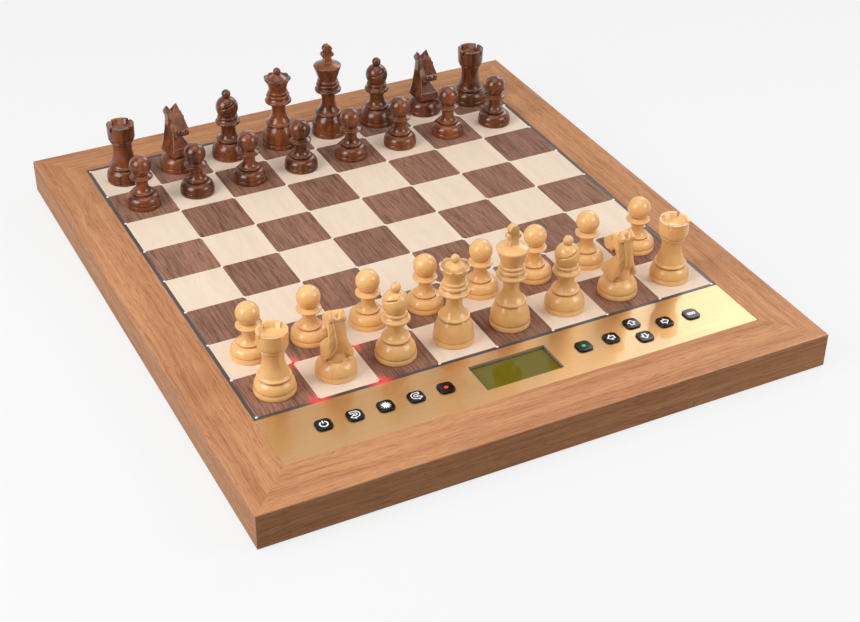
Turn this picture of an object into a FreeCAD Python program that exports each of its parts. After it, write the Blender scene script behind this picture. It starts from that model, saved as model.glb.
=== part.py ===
"""Electronic chess computer: a framed wooden board with a lamp at every corner of its squares,
a brass control panel with a display and push buttons, and a full set of turned pieces.

Millimetres, +Z up, the players' files along X, White's side towards -Y.
The origin is on the table, under the middle of the frame.
"""
import FreeCAD, Part
import os

import Sketcher
from FreeCAD import Placement, Rotation, Vector

doc = FreeCAD.newDocument("ChessComputer")
sheet = doc.addObject("Spreadsheet::Sheet", "Dims")

# Driving dimensions: name, millimetres, what it is.
SIZES = [
    ("square_size", 55.0, "side of one square"),
    ("border_width", 3.5, "dark line round the squares"),
    ("veneer_thickness", 1.0, "square veneers"),
    ("board_thickness", 9.0, "core panel under the squares and the brass plate"),
    ("tongue_thickness", 4.0, "tongue round the core panel"),
    ("tongue_depth", 5.0, "how far the tongue goes into the rails"),
    ("joint_clearance", 0.2, "gap of the wood joints"),
    ("side_rail_width", 42.0, "left and right rails"),
    ("rear_rail_width", 42.0, "rear rail"),
    ("front_rail_width", 45.0, "front rail"),
    ("frame_height", 33.6, "height of the rails"),
    ("rail_edge_radius", 1.2, "eased outer edge of the rails"),
    ("surface_drop", 0.3, "squares below the top of the rails"),
    ("control_depth", 62.0, "brass plate, front to back"),
    ("plate_thickness", 1.0, "brass plate"),
    ("control_row_offset", 1.5, "row of buttons behind the middle of the plate"),
    ("button_width", 13.0, "button cap, both ways"),
    ("button_corner_radius", 3.8, "button cap corners"),
    ("button_rise", 1.4, "cap above the plate"),
    ("button_bevel", 0.9, "slope round the top of a cap"),
    ("button_clearance", 0.25, "gap round a cap in the plate"),
    ("button_flange", 1.0, "lip round a cap, outside its hole in the plate"),
    ("flange_thickness", 1.0, "lip that holds a button under the plate"),
    ("button_travel", 0.8, "how far a button goes down"),
    ("button_stem_radius", 2.2, "stem under a button"),
    ("button_pitch", 27.4, "from button to button along the row"),
    ("button_inner_x", 66.0, "buttons nearest the display"),
    ("arrow_offset", 10.8, "up and down arrows from the row"),
    ("switch_width", 6.0, "switch housing, both ways"),
    ("switch_height", 3.5, "switch housing"),
    ("switch_gap", 0.15, "slack between a pressed stem and its switch"),
    ("display_width", 73.0, "window in the plate"),
    ("display_depth", 35.0, "window in the plate"),
    ("glass_margin", 3.0, "display glass beyond the window"),
    ("glass_thickness", 2.8, "display glass"),
    ("glass_drop", 2.1, "glass below the plate"),
    ("bezel_wall", 1.2, "metal frame round the display glass"),
    ("bezel_lip", 3.3, "metal frame over the edge of the glass"),
    ("bezel_lip_thickness", 2.0, "metal frame on top of the glass"),
    ("display_clearance", 0.6, "gap round the display in the core panel"),
    ("led_radius", 1.3, "corner lamp"),
    ("led_clearance", 0.15, "gap round a corner lamp"),
    ("led_dome", 0.35, "crown of a lamp above the squares"),
    ("circuit_thickness", 1.6, "circuit boards"),
    ("circuit_margin", 0.8, "gap between a circuit board and the rails"),
    ("circuit_gap", 3.0, "between the two circuit boards"),
    ("base_thickness", 4.0, "bottom panel"),
    ("base_rebate", 10.0, "step in the rails for the bottom panel"),
    ("screw_head_radius", 3.2, "bottom panel screws"),
    ("screw_head_height", 2.0, "bottom panel screws"),
    ("screw_shank_radius", 1.6, "bottom panel screws"),
    ("screw_length", 16.0, "bottom panel screws"),
    ("screw_clearance", 0.2, "gap round a screw"),
    ("screw_corner_inset", 55.0, "end screws from the inner corner of the frame"),
    ("foot_radius", 9.0, "rubber feet"),
    ("foot_taper", 1.0, "rubber feet"),
    ("foot_height", 1.5, "rubber feet"),
    ("foot_inset", 26.0, "feet from the inner sides of the rails"),
    ("socket_corner_inset", 30.0, "power socket from the inner corner of the frame"),
    ("socket_height", 16.0, "power socket above the table"),
    ("socket_flange_radius", 7.0, "power socket rim"),
    ("socket_flange_thickness", 1.4, "power socket rim"),
    ("socket_body_radius", 5.6, "power socket barrel"),
    ("socket_body_length", 15.0, "power socket barrel"),
    ("socket_bore_radius", 3.2, "hole for the plug"),
    ("socket_bore_depth", 10.0, "hole for the plug"),
    ("socket_pin_radius", 1.0, "centre pin"),
    ("socket_pin_recess", 1.2, "centre pin below the rim"),
    ("lead_hole_radius", 3.5, "hole through the rear rail for the inner lead"),
    ("piece_edge", 0.8, "rounded foot of a piece"),
    ("plinth_height", 4.6, "plinth of a piece"),
    ("plinth_groove", 0.9, "depth of the groove over the plinth"),
    ("plinth_groove_half", 0.6, "half the height of that groove"),
    ("officer_base_radius", 17.9, "plinth of king, queen, bishop, knight and rook"),
    ("officer_bell_radius", 17.5, "bell over that plinth"),
    ("officer_stem_foot", 12.6, "flared foot of a stem, inside its round lip"),
    ("lip_height", 2.4, "round lip at the foot of a stem"),
    ("lip_shadow", 0.6, "undercut below that lip"),
    ("king_lip_z", 23.0, "king: underside of the lip"),
    ("king_waist_radius", 6.9, "king: narrowest stem"),
    ("king_waist_z", 38.2, "king: narrowest stem"),
    ("king_neck_radius", 8.2, "king: stem under the collar"),
    ("king_collar_z", 48.2, "king: underside of the collar"),
    ("king_collar_radius", 11.9, "king: collar inside its round edge"),
    ("king_collar_height", 3.4, "king: collar edge"),
    ("king_ring_z", 53.5, "king: second ring"),
    ("king_ring_radius", 10.2, "king: second ring inside its round edge"),
    ("king_ring_height", 3.6, "king: second ring"),
    ("king_fillet_z", 57.9, "king: thin ring"),
    ("king_fillet_height", 2.8, "king: thin ring"),
    ("king_head_radius", 9.4, "king: foot of the head"),
    ("king_head_z", 61.4, "king: foot of the head"),
    ("king_rim_radius", 14.2, "king: rim of the head"),
    ("king_rim_z", 76.2, "king: rim of the head"),
    ("king_rim_bevel", 0.6, "king: bevel of the rim"),
    ("king_crown_radius", 6.0, "king: top of the head"),
    ("king_crown_z", 79.6, "king: top of the head"),
    ("cross_thickness", 6.0, "king: cross"),
    ("cross_foot_half", 5.0, "king: foot of the cross"),
    ("cross_waist_half", 3.5, "king: cross below its arms"),
    ("cross_arm_low", 86.0, "king: underside of the arms"),
    ("cross_arm_high", 91.2, "king: top of the arms"),
    ("cross_arm_half", 3.8, "king: arms inside their round ends"),
    ("cross_notch_half", 3.3, "king: cross above its arms"),
    ("cross_head_half", 4.6, "king: upper arm, half its width"),
    ("cross_head_z", 94.4, "king: upper arm below its round end"),
    ("queen_lip_z", 23.6, "queen: underside of the lip"),
    ("queen_waist_radius", 6.9, "queen: narrowest stem"),
    ("queen_waist_z", 38.8, "queen: narrowest stem"),
    ("queen_neck_radius", 8.0, "queen: stem under the collar"),
    ("queen_collar_z", 47.8, "queen: underside of the collar"),
    ("queen_collar_radius", 11.9, "queen: collar inside its round edge"),
    ("queen_collar_height", 3.2, "queen: collar edge"),
    ("queen_ring_z", 53.5, "queen: second ring"),
    ("queen_ring_radius", 10.0, "queen: second ring inside its round edge"),
    ("queen_ring_height", 3.6, "queen: second ring"),
    ("queen_fillet_z", 57.8, "queen: thin ring"),
    ("queen_fillet_height", 2.4, "queen: thin ring"),
    ("queen_head_radius", 9.1, "queen: foot of the head"),
    ("queen_head_z", 60.9, "queen: foot of the head"),
    ("queen_rim_radius", 13.6, "queen: rim of the coronet"),
    ("queen_rim_z", 73.4, "queen: rim of the coronet"),
    ("queen_rim_height", 0.9, "queen: edge of the rim"),
    ("queen_rim_width", 1.6, "queen: flat of the rim"),
    ("queen_dish_depth", 1.3, "queen: dish inside the rim"),
    ("queen_dish_radius", 10.6, "queen: dish inside the rim"),
    ("queen_ball_radius", 3.8, "queen: ball"),
    ("queen_ball_z", 81.2, "queen: middle of the ball"),
    ("queen_ball_neck", 2.5, "queen: under the ball"),
    ("queen_scallop_radius", 3.4, "queen: scallops of the coronet"),
    ("queen_scallop_reach", 1.9, "queen: middle of a scallop outside the rim"),
    ("queen_scallop_z", 67.4, "queen: foot of the scallops"),
    ("bishop_lip_z", 18.3, "bishop: underside of the lip"),
    ("bishop_stem_foot", 11.4, "bishop: foot of the stem inside its lip"),
    ("bishop_waist_radius", 7.3, "bishop: narrowest stem"),
    ("bishop_waist_z", 28.0, "bishop: narrowest stem"),
    ("bishop_neck_radius", 8.2, "bishop: stem under the collar"),
    ("bishop_collar_z", 36.7, "bishop: underside of the collar"),
    ("bishop_collar_radius", 10.9, "bishop: collar inside its round edge"),
    ("bishop_collar_height", 3.4, "bishop: collar edge"),
    ("bishop_ring_z", 42.4, "bishop: second ring"),
    ("bishop_ring_radius", 8.9, "bishop: second ring inside its round edge"),
    ("bishop_ring_height", 2.8, "bishop: second ring"),
    ("bishop_throat_radius", 8.4, "bishop: foot of the mitre"),
    ("bishop_throat_z", 45.8, "bishop: foot of the mitre"),
    ("bishop_mitre_radius", 11.2, "bishop: mitre"),
    ("bishop_mitre_z", 54.4, "bishop: widest mitre"),
    ("bishop_ball_radius", 4.5, "bishop: ball"),
    ("bishop_ball_z", 68.4, "bishop: middle of the ball"),
    ("bishop_ball_neck", 3.1, "bishop: under the ball"),
    ("bishop_slot_width", 1.5, "bishop: slot in the mitre"),
    ("bishop_slot_low_z", 53.4, "bishop: slot on the low side"),
    ("bishop_slot_high_z", 62.0, "bishop: slot on the high side"),
    ("bishop_slot_depth", 7.0, "bishop: slot from the front of the mitre"),
    ("rook_lip_z", 15.0, "rook: underside of the lip"),
    ("rook_stem_foot", 13.4, "rook: foot of the stem inside its lip"),
    ("rook_waist_radius", 9.2, "rook: narrowest stem"),
    ("rook_waist_z", 35.2, "rook: narrowest stem"),
    ("rook_neck_radius", 10.2, "rook: stem under the tower"),
    ("rook_ring_z", 42.0, "rook: thin ring under the tower"),
    ("rook_ring_radius", 10.6, "rook: thin ring inside its round edge"),
    ("rook_ring_height", 1.6, "rook: thin ring"),
    ("rook_tower_foot", 11.2, "rook: foot of the tower"),
    ("rook_tower_radius", 13.1, "rook: tower"),
    ("rook_tower_z", 48.0, "rook: where the tower runs straight"),
    ("rook_rim_radius", 13.4, "rook: rim"),
    ("rook_height", 60.4, "rook: rim"),
    ("rook_wall", 3.1, "rook: wall of the tower"),
    ("rook_cup_depth", 4.4, "rook: cup in the tower"),
    ("rook_slot_width", 2.6, "rook: slots in the wall"),
    ("pawn_base_radius", 16.7, "pawn: plinth"),
    ("pawn_bell_radius", 16.4, "pawn: bell"),
    ("pawn_lip_z", 13.7, "pawn: underside of the lip"),
    ("pawn_stem_foot", 9.8, "pawn: foot of the stem inside its lip"),
    ("pawn_lip_height", 1.7, "pawn: lip"),
    ("pawn_waist_radius", 6.0, "pawn: narrowest stem"),
    ("pawn_waist_z", 22.2, "pawn: narrowest stem"),
    ("pawn_neck_radius", 7.2, "pawn: stem under the collar"),
    ("pawn_collar_z", 29.8, "pawn: underside of the collar"),
    ("pawn_collar_radius", 10.1, "pawn: collar inside its round edge"),
    ("pawn_collar_height", 1.9, "pawn: collar edge"),
    ("pawn_head_radius", 10.5, "pawn: ball"),
    ("pawn_head_z", 42.2, "pawn: middle of the ball"),
    ("pawn_throat_radius", 6.6, "pawn: under the ball"),
    ("knight_bell_top_radius", 11.8, "knight: top of the bell"),
    ("knight_bell_top_z", 15.6, "knight: top of the bell"),
    ("knight_seat_radius", 10.4, "knight: round neck that carries the carving"),
    ("knight_seat_z", 16.6, "knight: foot of that neck"),
    ("knight_carving_z", 18.0, "knight: underside of the carving"),
    ("knight_back_y", 11.8, "knight: foot of the back, behind the axis"),
    ("knight_crest_y", 13.0, "knight: crest of the neck, behind the axis"),
    ("knight_crest_z", 39.0, "knight: crest of the neck"),
    ("knight_poll_y", 10.4, "knight: top of the back, behind the axis"),
    ("knight_poll_z", 60.6, "knight: top of the back"),
    ("knight_groove_width", 1.4, "knight: groove across the back under the ears"),
    ("knight_groove_depth", 0.8, "knight: that groove"),
    ("knight_ear_y", 5.4, "knight: ear tips, behind the axis"),
    ("knight_ear_z", 67.6, "knight: ear tips"),
    ("knight_ear_half", 5.6, "knight: ear tips from the middle"),
    ("knight_forelock_y", 2.0, "knight: foot of the ears in front, behind the axis"),
    ("knight_notch_z", 60.8, "knight: notch between the ears"),
    ("knight_brow_y", 3.2, "knight: brow"),
    ("knight_brow_z", 60.6, "knight: brow"),
    ("knight_nose_top_y", 17.0, "knight: top of the nose"),
    ("knight_nose_top_z", 49.0, "knight: top of the nose"),
    ("knight_nose_y", 18.6, "knight: tip of the nose"),
    ("knight_nose_z", 45.6, "knight: tip of the nose"),
    ("knight_lip_y", 16.8, "knight: lower lip"),
    ("knight_lip_z", 41.4, "knight: lower lip"),
    ("knight_chin_y", 12.2, "knight: chin"),
    ("knight_chin_z", 39.6, "knight: chin"),
    ("knight_jaw_y", 7.2, "knight: jaw"),
    ("knight_jaw_z", 41.6, "knight: jaw"),
    ("knight_throat_y", 1.4, "knight: throat"),
    ("knight_throat_z", 38.4, "knight: throat"),
    ("knight_breast_y", 12.2, "knight: breast"),
    ("knight_breast_z", 25.5, "knight: breast"),
    ("knight_chest_y", 14.0, "knight: chest over the seat"),
    ("knight_foot_half", 11.6, "knight: half width of the carving's underside"),
    ("knight_shoulder_half", 14.8, "knight: half width at the shoulders"),
    ("knight_shoulder_z", 21.8, "knight: the shoulders"),
    ("knight_flank_half", 11.6, "knight: half width over the shoulders"),
    ("knight_flank_z", 30.0, "knight: where it is that wide"),
    ("knight_neck_half", 8.8, "knight: half width of the neck"),
    ("knight_neck_z", 40.0, "knight: where the neck is that wide"),
    ("knight_head_half", 7.3, "knight: half width of the head"),
    ("knight_band_half", 8.6, "knight: half width of the back"),
    ("knight_flank_y", 7.6, "knight: widest flank, behind the axis"),
    ("knight_breast_half", 10.0, "knight: half width of the breast at its foot"),
    ("knight_muzzle_half", 5.8, "knight: half width of the muzzle"),
    ("knight_cheek_half", 6.6, "knight: half width of the face"),
    ("knight_cheek_y", 2.2, "knight: where the face starts in front of the neck"),
    ("knight_scoop_gap", 0.4, "knight: room round the shoulders where the scoops start"),
    ("knight_scoop_back_half", 10.6, "knight: half width that the scoops leave at the crest"),
    ("knight_scoop_half", 2.4, "knight: half width that the scoops leave at the throat"),
    ("knight_scoop_y", 3.2, "knight: front end of the scoops"),
    ("knight_scoop_top", 48.0, "knight: where the scoops run out"),
]
for row, (alias, millimetres, note) in enumerate(SIZES, start=1):
    sheet.set(f"A{row}", alias)
    sheet.set(f"B{row}", str(millimetres))
    sheet.set(f"C{row}", note)
    sheet.setAlias(f"B{row}", alias)
doc.recompute()

# Whatever is built is measured in the expressions below, which read the sheet.
SQUARES = 8
LAMPS = SQUARES + 1


def value(expression):
    """What an expression comes to now, in millimetres."""
    found = sheet.evalExpression(expression.replace("Dims.", ""))
    return float(getattr(found, "Value", found))


HALF_INSIDE = "({0} * Dims.square_size + Dims.border_width)".format(SQUARES // 2)
HALF_WIDTH = f"({HALF_INSIDE} + Dims.side_rail_width)"
DEPTH = f"(Dims.rear_rail_width + 2 * {HALF_INSIDE} + Dims.control_depth + Dims.front_rail_width)"
REAR_OUT = f"({DEPTH} / 2)"
REAR_IN = f"({REAR_OUT} - Dims.rear_rail_width)"
BOARD_Y = f"({REAR_IN} - {HALF_INSIDE})"
PLATE_REAR = f"({BOARD_Y} - {HALF_INSIDE})"
FRONT_IN = f"({PLATE_REAR} - Dims.control_depth)"
FRONT_OUT = f"({FRONT_IN} - Dims.front_rail_width)"
ROW_Y = f"(({PLATE_REAR} + {FRONT_IN}) / 2 + Dims.control_row_offset)"

FRAME_BOTTOM = "Dims.foot_height"
FRAME_TOP = "(Dims.foot_height + Dims.frame_height)"
SURFACE = f"({FRAME_TOP} - Dims.surface_drop)"
CORE_BOTTOM = f"({SURFACE} - Dims.board_thickness)"
PLATE_BOTTOM = f"({SURFACE} - Dims.plate_thickness)"
TONGUE_TOP = f"({CORE_BOTTOM} + Dims.tongue_thickness)"
CIRCUIT_BOTTOM = f"({CORE_BOTTOM} - Dims.circuit_thickness)"
BASE_TOP = "(Dims.foot_height + Dims.base_thickness)"
LAMP_HOLE = "(Dims.led_radius + Dims.led_clearance)"


# Sketches and features

def origin_feature(body, role):
    return next(item for item in body.Origin.OriginFeatures if item.Role == role)


def new_body(label):
    body = doc.addObject("PartDesign::Body", label)
    body.Label = label
    return body


def new_sketch(body, role="XY_Plane", height="0"):
    """A sketch on one of the body's own planes, raised along the plane's normal."""
    sketch = body.newObject("Sketcher::SketchObject", body.Name + "_sketch")
    sketch.AttachmentSupport = [(origin_feature(body, role), "")]
    sketch.MapMode = "FlatFace"
    sketch.setExpression("AttachmentOffset.Base.z", height)
    return sketch


def arc_centre(kind, start, end):
    """The centre of an arc that runs as its kind says: upright or level where it starts or ends."""
    (x0, y0), (x1, y1) = start, end
    if kind == "half_round":
        return (x0 + x1) / 2, (y0 + y1) / 2
    if kind == "upright_start":
        return (x1 * x1 - x0 * x0 + (y1 - y0) ** 2) / (2 * (x1 - x0)), y0
    if kind == "upright_end":
        return (x0 * x0 - x1 * x1 + (y1 - y0) ** 2) / (2 * (x0 - x1)), y1
    if kind == "level_end":
        return x1, (y0 * y0 - y1 * y1 + (x1 - x0) ** 2) / (2 * (y0 - y1))
    raise ValueError(f"no such edge: {kind}")


def draw(sketch, outline):
    """Closes one outline, with its inside on the left. Each entry is (edge, x, y): how the edge that
    ends at this corner runs, and the corner's place as two expressions. A half round swells outwards."""
    corners = [(value(x), value(y)) for _, x, y in outline]
    first = sketch.GeometryCount
    ends = []
    constraints = []
    for index, (kind, _, _) in enumerate(outline):
        start, end = corners[index - 1], corners[index]
        edge = first + index
        if kind == "line":
            sketch.addGeometry(Part.LineSegment(Vector(*start, 0), Vector(*end, 0)))
            ends.append((1, 2))
            continue
        centre = arc_centre(kind, start, end)
        spoke = (start[0] - centre[0], start[1] - centre[1])
        far = (end[0] - centre[0], end[1] - centre[1])
        turn = spoke[0] * far[1] - spoke[1] * far[0]
        anticlockwise = kind == "half_round" or turn > 0
        circle = Part.Circle(Vector(*centre, 0), Vector(0, 0, 1), (spoke[0] ** 2 + spoke[1] ** 2) ** 0.5)
        angles = [circle.parameter(Vector(*point, 0)) for point in (start, end)]
        if not anticlockwise:
            angles.reverse()
        if angles[1] < angles[0]:
            angles[1] += circle.LastParameter
        sketch.addGeometry(Part.ArcOfCircle(circle, *angles))
        ends.append((1, 2) if anticlockwise else (2, 1))
        if kind == "half_round":
            constraints.append(Sketcher.Constraint("Symmetric", edge, 1, edge, 2, edge, 3))
        elif kind == "upright_start":
            constraints.append(Sketcher.Constraint("Horizontal", edge, 3, edge, ends[-1][0]))
        elif kind == "upright_end":
            constraints.append(Sketcher.Constraint("Horizontal", edge, 3, edge, ends[-1][1]))
        else:
            constraints.append(Sketcher.Constraint("Vertical", edge, 3, edge, ends[-1][1]))
    bound = []
    for index, (_, x, y) in enumerate(outline):
        edge, end = first + index, ends[index][1]
        after = (index + 1) % len(outline)
        constraints.append(Sketcher.Constraint("Coincident", edge, end, first + after, ends[after][0]))
        for direction, axis, place, now in (("DistanceX", -2, x, corners[index][0]),
                                            ("DistanceY", -1, y, corners[index][1])):
            if place == "0":
                constraints.append(Sketcher.Constraint("PointOnObject", edge, end, axis))
            else:
                bound.append((sketch.ConstraintCount + len(constraints), place))
                constraints.append(Sketcher.Constraint(direction, -1, 1, edge, end, now))
    sketch.addConstraint(constraints)
    for index, place in bound:
        sketch.setExpression(f"Constraints[{index}]", place)


def draw_circle(sketch, x, y, radius):
    edge = sketch.GeometryCount
    first = sketch.ConstraintCount
    middle = (value(x), value(y))
    sketch.addGeometry(Part.Circle(Vector(*middle, 0), Vector(0, 0, 1), value(radius)))
    sketch.addConstraint([
        Sketcher.Constraint("DistanceX", -1, 1, edge, 3, middle[0]),
        Sketcher.Constraint("DistanceY", -1, 1, edge, 3, middle[1]),
        Sketcher.Constraint("Radius", edge, value(radius)),
    ])
    for offset, expression in enumerate((x, y, radius)):
        sketch.setExpression(f"Constraints[{first + offset}]", expression)


def rectangle(x0, x1, y0, y1):
    return [("line", x0, y0), ("line", x1, y0), ("line", x1, y1), ("line", x0, y1)]


def rounded_square(x, y, half, radius):
    """A square with round corners about (x, y)."""
    near_x, far_x = f"{x} - {half}", f"{x} + {half}"
    near_y, far_y = f"{y} - {half}", f"{y} + {half}"
    return [
        ("line", f"{far_x} - {radius}", near_y),
        ("upright_end", far_x, f"{near_y} + {radius}"),
        ("line", far_x, f"{far_y} - {radius}"),
        ("upright_start", f"{far_x} - {radius}", far_y),
        ("line", f"{near_x} + {radius}", far_y),
        ("upright_end", near_x, f"{far_y} - {radius}"),
        ("line", near_x, f"{near_y} + {radius}"),
        ("upright_start", f"{near_x} + {radius}", near_y),
    ]


def feature(body, kind, sketch, length=None, **settings):
    """Adds a feature made from a sketch, as the body's newest."""
    made = body.newObject("PartDesign::" + kind, f"{body.Name}_{kind.lower()}")
    made.Profile = sketch
    for name, setting in settings.items():
        setattr(made, name, setting)
    if length:
        made.setExpression("Length", length)
    doc.recompute()
    return made


def pad(body, outlines, bottom, height, role="XY_Plane", **settings):
    sketch = new_sketch(body, role, bottom)
    for outline in outlines:
        draw(sketch, outline)
    return feature(body, "Pad", sketch, height, **settings)


def pocket(body, outlines, top, depth, role="XY_Plane", **settings):
    sketch = new_sketch(body, role, top)
    for outline in outlines:
        draw(sketch, outline)
    return feature(body, "Pocket", sketch, depth, **settings)


def drill(body, places, radius, top, depth):
    sketch = new_sketch(body, height=top)
    for x, y in places:
        draw_circle(sketch, x, y, radius)
    return feature(body, "Pocket", sketch, depth)


def turn(body, outline):
    """Turns an outline of radii and heights about the body's Z axis."""
    sketch = new_sketch(body, "XZ_Plane")
    draw(sketch, outline)
    return feature(body, "Revolution", sketch, ReferenceAxis=(sketch, ["V_Axis"]), Angle=360.0)


def grid(body, original, x_step, x_count, y_step, y_count):
    """Repeats a feature along X and along Y."""
    pattern = body.newObject("PartDesign::LinearPattern", body.Name + "_grid")
    pattern.Originals = [original]
    pattern.Direction = (origin_feature(body, "X_Axis"), [""])
    pattern.setExpression("Length", f"{x_step} * {x_count - 1}")
    pattern.Occurrences = x_count
    pattern.Direction2 = (origin_feature(body, "Y_Axis"), [""])
    pattern.setExpression("Length2", f"{y_step} * {y_count - 1}")
    pattern.Occurrences2 = y_count
    body.Tip = pattern
    doc.recompute()
    return pattern


def ring_of(body, original, count):
    """Repeats a feature round the body's Z axis."""
    pattern = body.newObject("PartDesign::PolarPattern", body.Name + "_ring")
    pattern.Originals = [original]
    pattern.Axis = (origin_feature(body, "Z_Axis"), [""])
    pattern.Angle = 360.0
    pattern.Occurrences = count
    body.Tip = pattern
    doc.recompute()
    return pattern


def ease(body, kind, size, wanted):
    """Rounds or bevels the edges of the body that the test picks."""
    base = body.Tip
    names = [f"Edge{i}" for i, edge in enumerate(base.Shape.Edges, start=1) if wanted(edge)]
    eased = body.newObject("PartDesign::" + kind, f"{body.Name}_{kind.lower()}")
    eased.Base = (base, names)
    eased.setExpression("Radius" if kind == "Fillet" else "Size", size)
    doc.recompute()
    return eased


def copy_of(original, label, x, y, z, turned=0.0):
    """A piece of its own with the original's shape, standing at (x, y, z)."""
    body = new_body(label)
    shape = body.newObject("PartDesign::FeatureBase", label + "_shape")
    shape.BaseFeature = original
    body.Tip = shape
    body.Placement = Placement(Vector(), Rotation(Vector(0, 0, 1), turned))
    for axis, place in zip("xyz", (x, y, z)):
        body.setExpression(f"Placement.Base.{axis}", place)
    return body


parts = []


# Frame: four mitred rails, grooved for the core panel and stepped for the bottom panel

def rail(label, outline, outer_edge, strip):
    """One rail. Its strip says where the inner side is cut back by a given width."""
    body = new_body(label)
    pad(body, [outline], FRAME_BOTTOM, "Dims.frame_height")
    groove_depth = "(Dims.tongue_depth + Dims.joint_clearance)"
    groove_top = f"({TONGUE_TOP} + Dims.joint_clearance)"
    pocket(body, [strip(groove_depth)], groove_top, "Dims.tongue_thickness + 2 * Dims.joint_clearance")
    pocket(body, [strip("Dims.base_rebate")], BASE_TOP, "Dims.base_thickness")
    ease(body, "Fillet", "Dims.rail_edge_radius", outer_edge)
    parts.append(body)
    return body


def outer_edges(axis, place):
    """Picks the long edges on the outer side of a rail, where axis is 0 for X and 1 for Y."""
    wanted = value(place)

    def test(edge):
        ends = [vertex.Point for vertex in edge.Vertexes]
        level = abs(ends[0].z - ends[-1].z) < 1e-6
        return level and all(abs(end[axis] - wanted) < 1e-6 for end in ends)

    return test


BEYOND = "Dims.side_rail_width"
front_rail = rail(
    "frame_front_rail",
    [("line", f"-{HALF_WIDTH}", FRONT_OUT), ("line", HALF_WIDTH, FRONT_OUT),
     ("line", HALF_INSIDE, FRONT_IN), ("line", f"-{HALF_INSIDE}", FRONT_IN)],
    outer_edges(1, FRONT_OUT),
    lambda width: rectangle(f"-{HALF_WIDTH}", HALF_WIDTH, f"{FRONT_IN} - {width}", f"{FRONT_IN} + {BEYOND}"),
)
rear_rail = rail(
    "frame_rear_rail",
    [("line", HALF_WIDTH, REAR_OUT), ("line", f"-{HALF_WIDTH}", REAR_OUT),
     ("line", f"-{HALF_INSIDE}", REAR_IN), ("line", HALF_INSIDE, REAR_IN)],
    outer_edges(1, REAR_OUT),
    lambda width: rectangle(f"-{HALF_WIDTH}", HALF_WIDTH, f"{REAR_IN} - {BEYOND}", f"{REAR_IN} + {width}"),
)
left_rail = rail(
    "frame_left_rail",
    [("line", f"-{HALF_WIDTH}", REAR_OUT), ("line", f"-{HALF_WIDTH}", FRONT_OUT),
     ("line", f"-{HALF_INSIDE}", FRONT_IN), ("line", f"-{HALF_INSIDE}", REAR_IN)],
    outer_edges(0, f"-{HALF_WIDTH}"),
    lambda width: rectangle(f"-{HALF_INSIDE} - {width}", f"-{HALF_INSIDE} + {BEYOND}", FRONT_OUT, REAR_OUT),
)
right_rail = rail(
    "frame_right_rail",
    [("line", HALF_WIDTH, FRONT_OUT), ("line", HALF_WIDTH, REAR_OUT),
     ("line", HALF_INSIDE, REAR_IN), ("line", HALF_INSIDE, FRONT_IN)],
    outer_edges(0, HALF_WIDTH),
    lambda width: rectangle(f"{HALF_INSIDE} - {BEYOND}", f"{HALF_INSIDE} + {width}", FRONT_OUT, REAR_OUT),
)


# Core panel, square veneers and corner lamps

CORE_HALF = f"({HALF_INSIDE} - Dims.joint_clearance)"
CORE_FRONT = f"({FRONT_IN} + Dims.joint_clearance)"
CORE_REAR = f"({REAR_IN} - Dims.joint_clearance)"
GRID_HALF = f"({SQUARES // 2} * Dims.square_size)"
BUTTONS = {
    "button_power": (-4, 0), "button_back": (-3, 0), "button_hint": (-2, 0),
    "button_forward": (-1, 0), "button_red": (0, 0), "button_green": (5, 0),
    "button_left": (6, 0), "button_up": (7, 1), "button_down": (7, -1),
    "button_right": (8, 0), "button_menu": (9, 0),
}
FIRST_RIGHT = 5


def button_place(name):
    """Where a button stands: steps outwards from the button beside the display, and up or down."""
    step, rise = BUTTONS[name]
    if step < FIRST_RIGHT:
        x = f"(-Dims.button_inner_x + {step} * Dims.button_pitch)"
    else:
        x = f"(Dims.button_inner_x + {step - FIRST_RIGHT} * Dims.button_pitch)"
    return x, f"({ROW_Y} + {rise} * Dims.arrow_offset)"


FLANGE_HALF = "(Dims.button_width / 2 + Dims.button_clearance + Dims.button_flange)"
FLANGE_CORNER = "(Dims.button_corner_radius + Dims.button_clearance + Dims.button_flange)"
FLANGE_REACH = f"(({FLANGE_HALF} - {FLANGE_CORNER}) * sqrt(2) + {FLANGE_CORNER})"
WELL_RADIUS = f"({FLANGE_REACH} + 2 * Dims.button_clearance)"
BEZEL_HALF_X = "(Dims.display_width / 2 + Dims.glass_margin + Dims.bezel_wall)"
BEZEL_HALF_Y = "(Dims.display_depth / 2 + Dims.glass_margin + Dims.bezel_wall)"


def display_rectangle(half_x, half_y):
    return rectangle(f"-{half_x}", half_x, f"{ROW_Y} - {half_y}", f"{ROW_Y} + {half_y}")


core = new_body("board_panel")
tongue_outline = rectangle(f"-({CORE_HALF} + Dims.tongue_depth)", f"{CORE_HALF} + Dims.tongue_depth",
                           f"{CORE_FRONT} - Dims.tongue_depth", f"{CORE_REAR} + Dims.tongue_depth")
pad(core, [tongue_outline], CORE_BOTTOM, "Dims.tongue_thickness")
pad(core, [rectangle(f"-{CORE_HALF}", CORE_HALF, CORE_FRONT, CORE_REAR)], CORE_BOTTOM, "Dims.board_thickness")
squares_outline = rectangle(f"-{GRID_HALF}", GRID_HALF,
                            f"{BOARD_Y} - {GRID_HALF}", f"{BOARD_Y} + {GRID_HALF}")
pocket(core, [squares_outline], SURFACE, "Dims.veneer_thickness")
plate_seat = rectangle(f"-{HALF_INSIDE}", HALF_INSIDE, FRONT_IN, PLATE_REAR)
pocket(core, [plate_seat], SURFACE, "Dims.plate_thickness")
display_well = display_rectangle(f"({BEZEL_HALF_X} + Dims.display_clearance)",
                                 f"({BEZEL_HALF_Y} + Dims.display_clearance)")
pocket(core, [display_well], SURFACE, "Dims.board_thickness")
drill(core, [button_place(name) for name in BUTTONS], WELL_RADIUS, SURFACE, "Dims.board_thickness")
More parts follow.
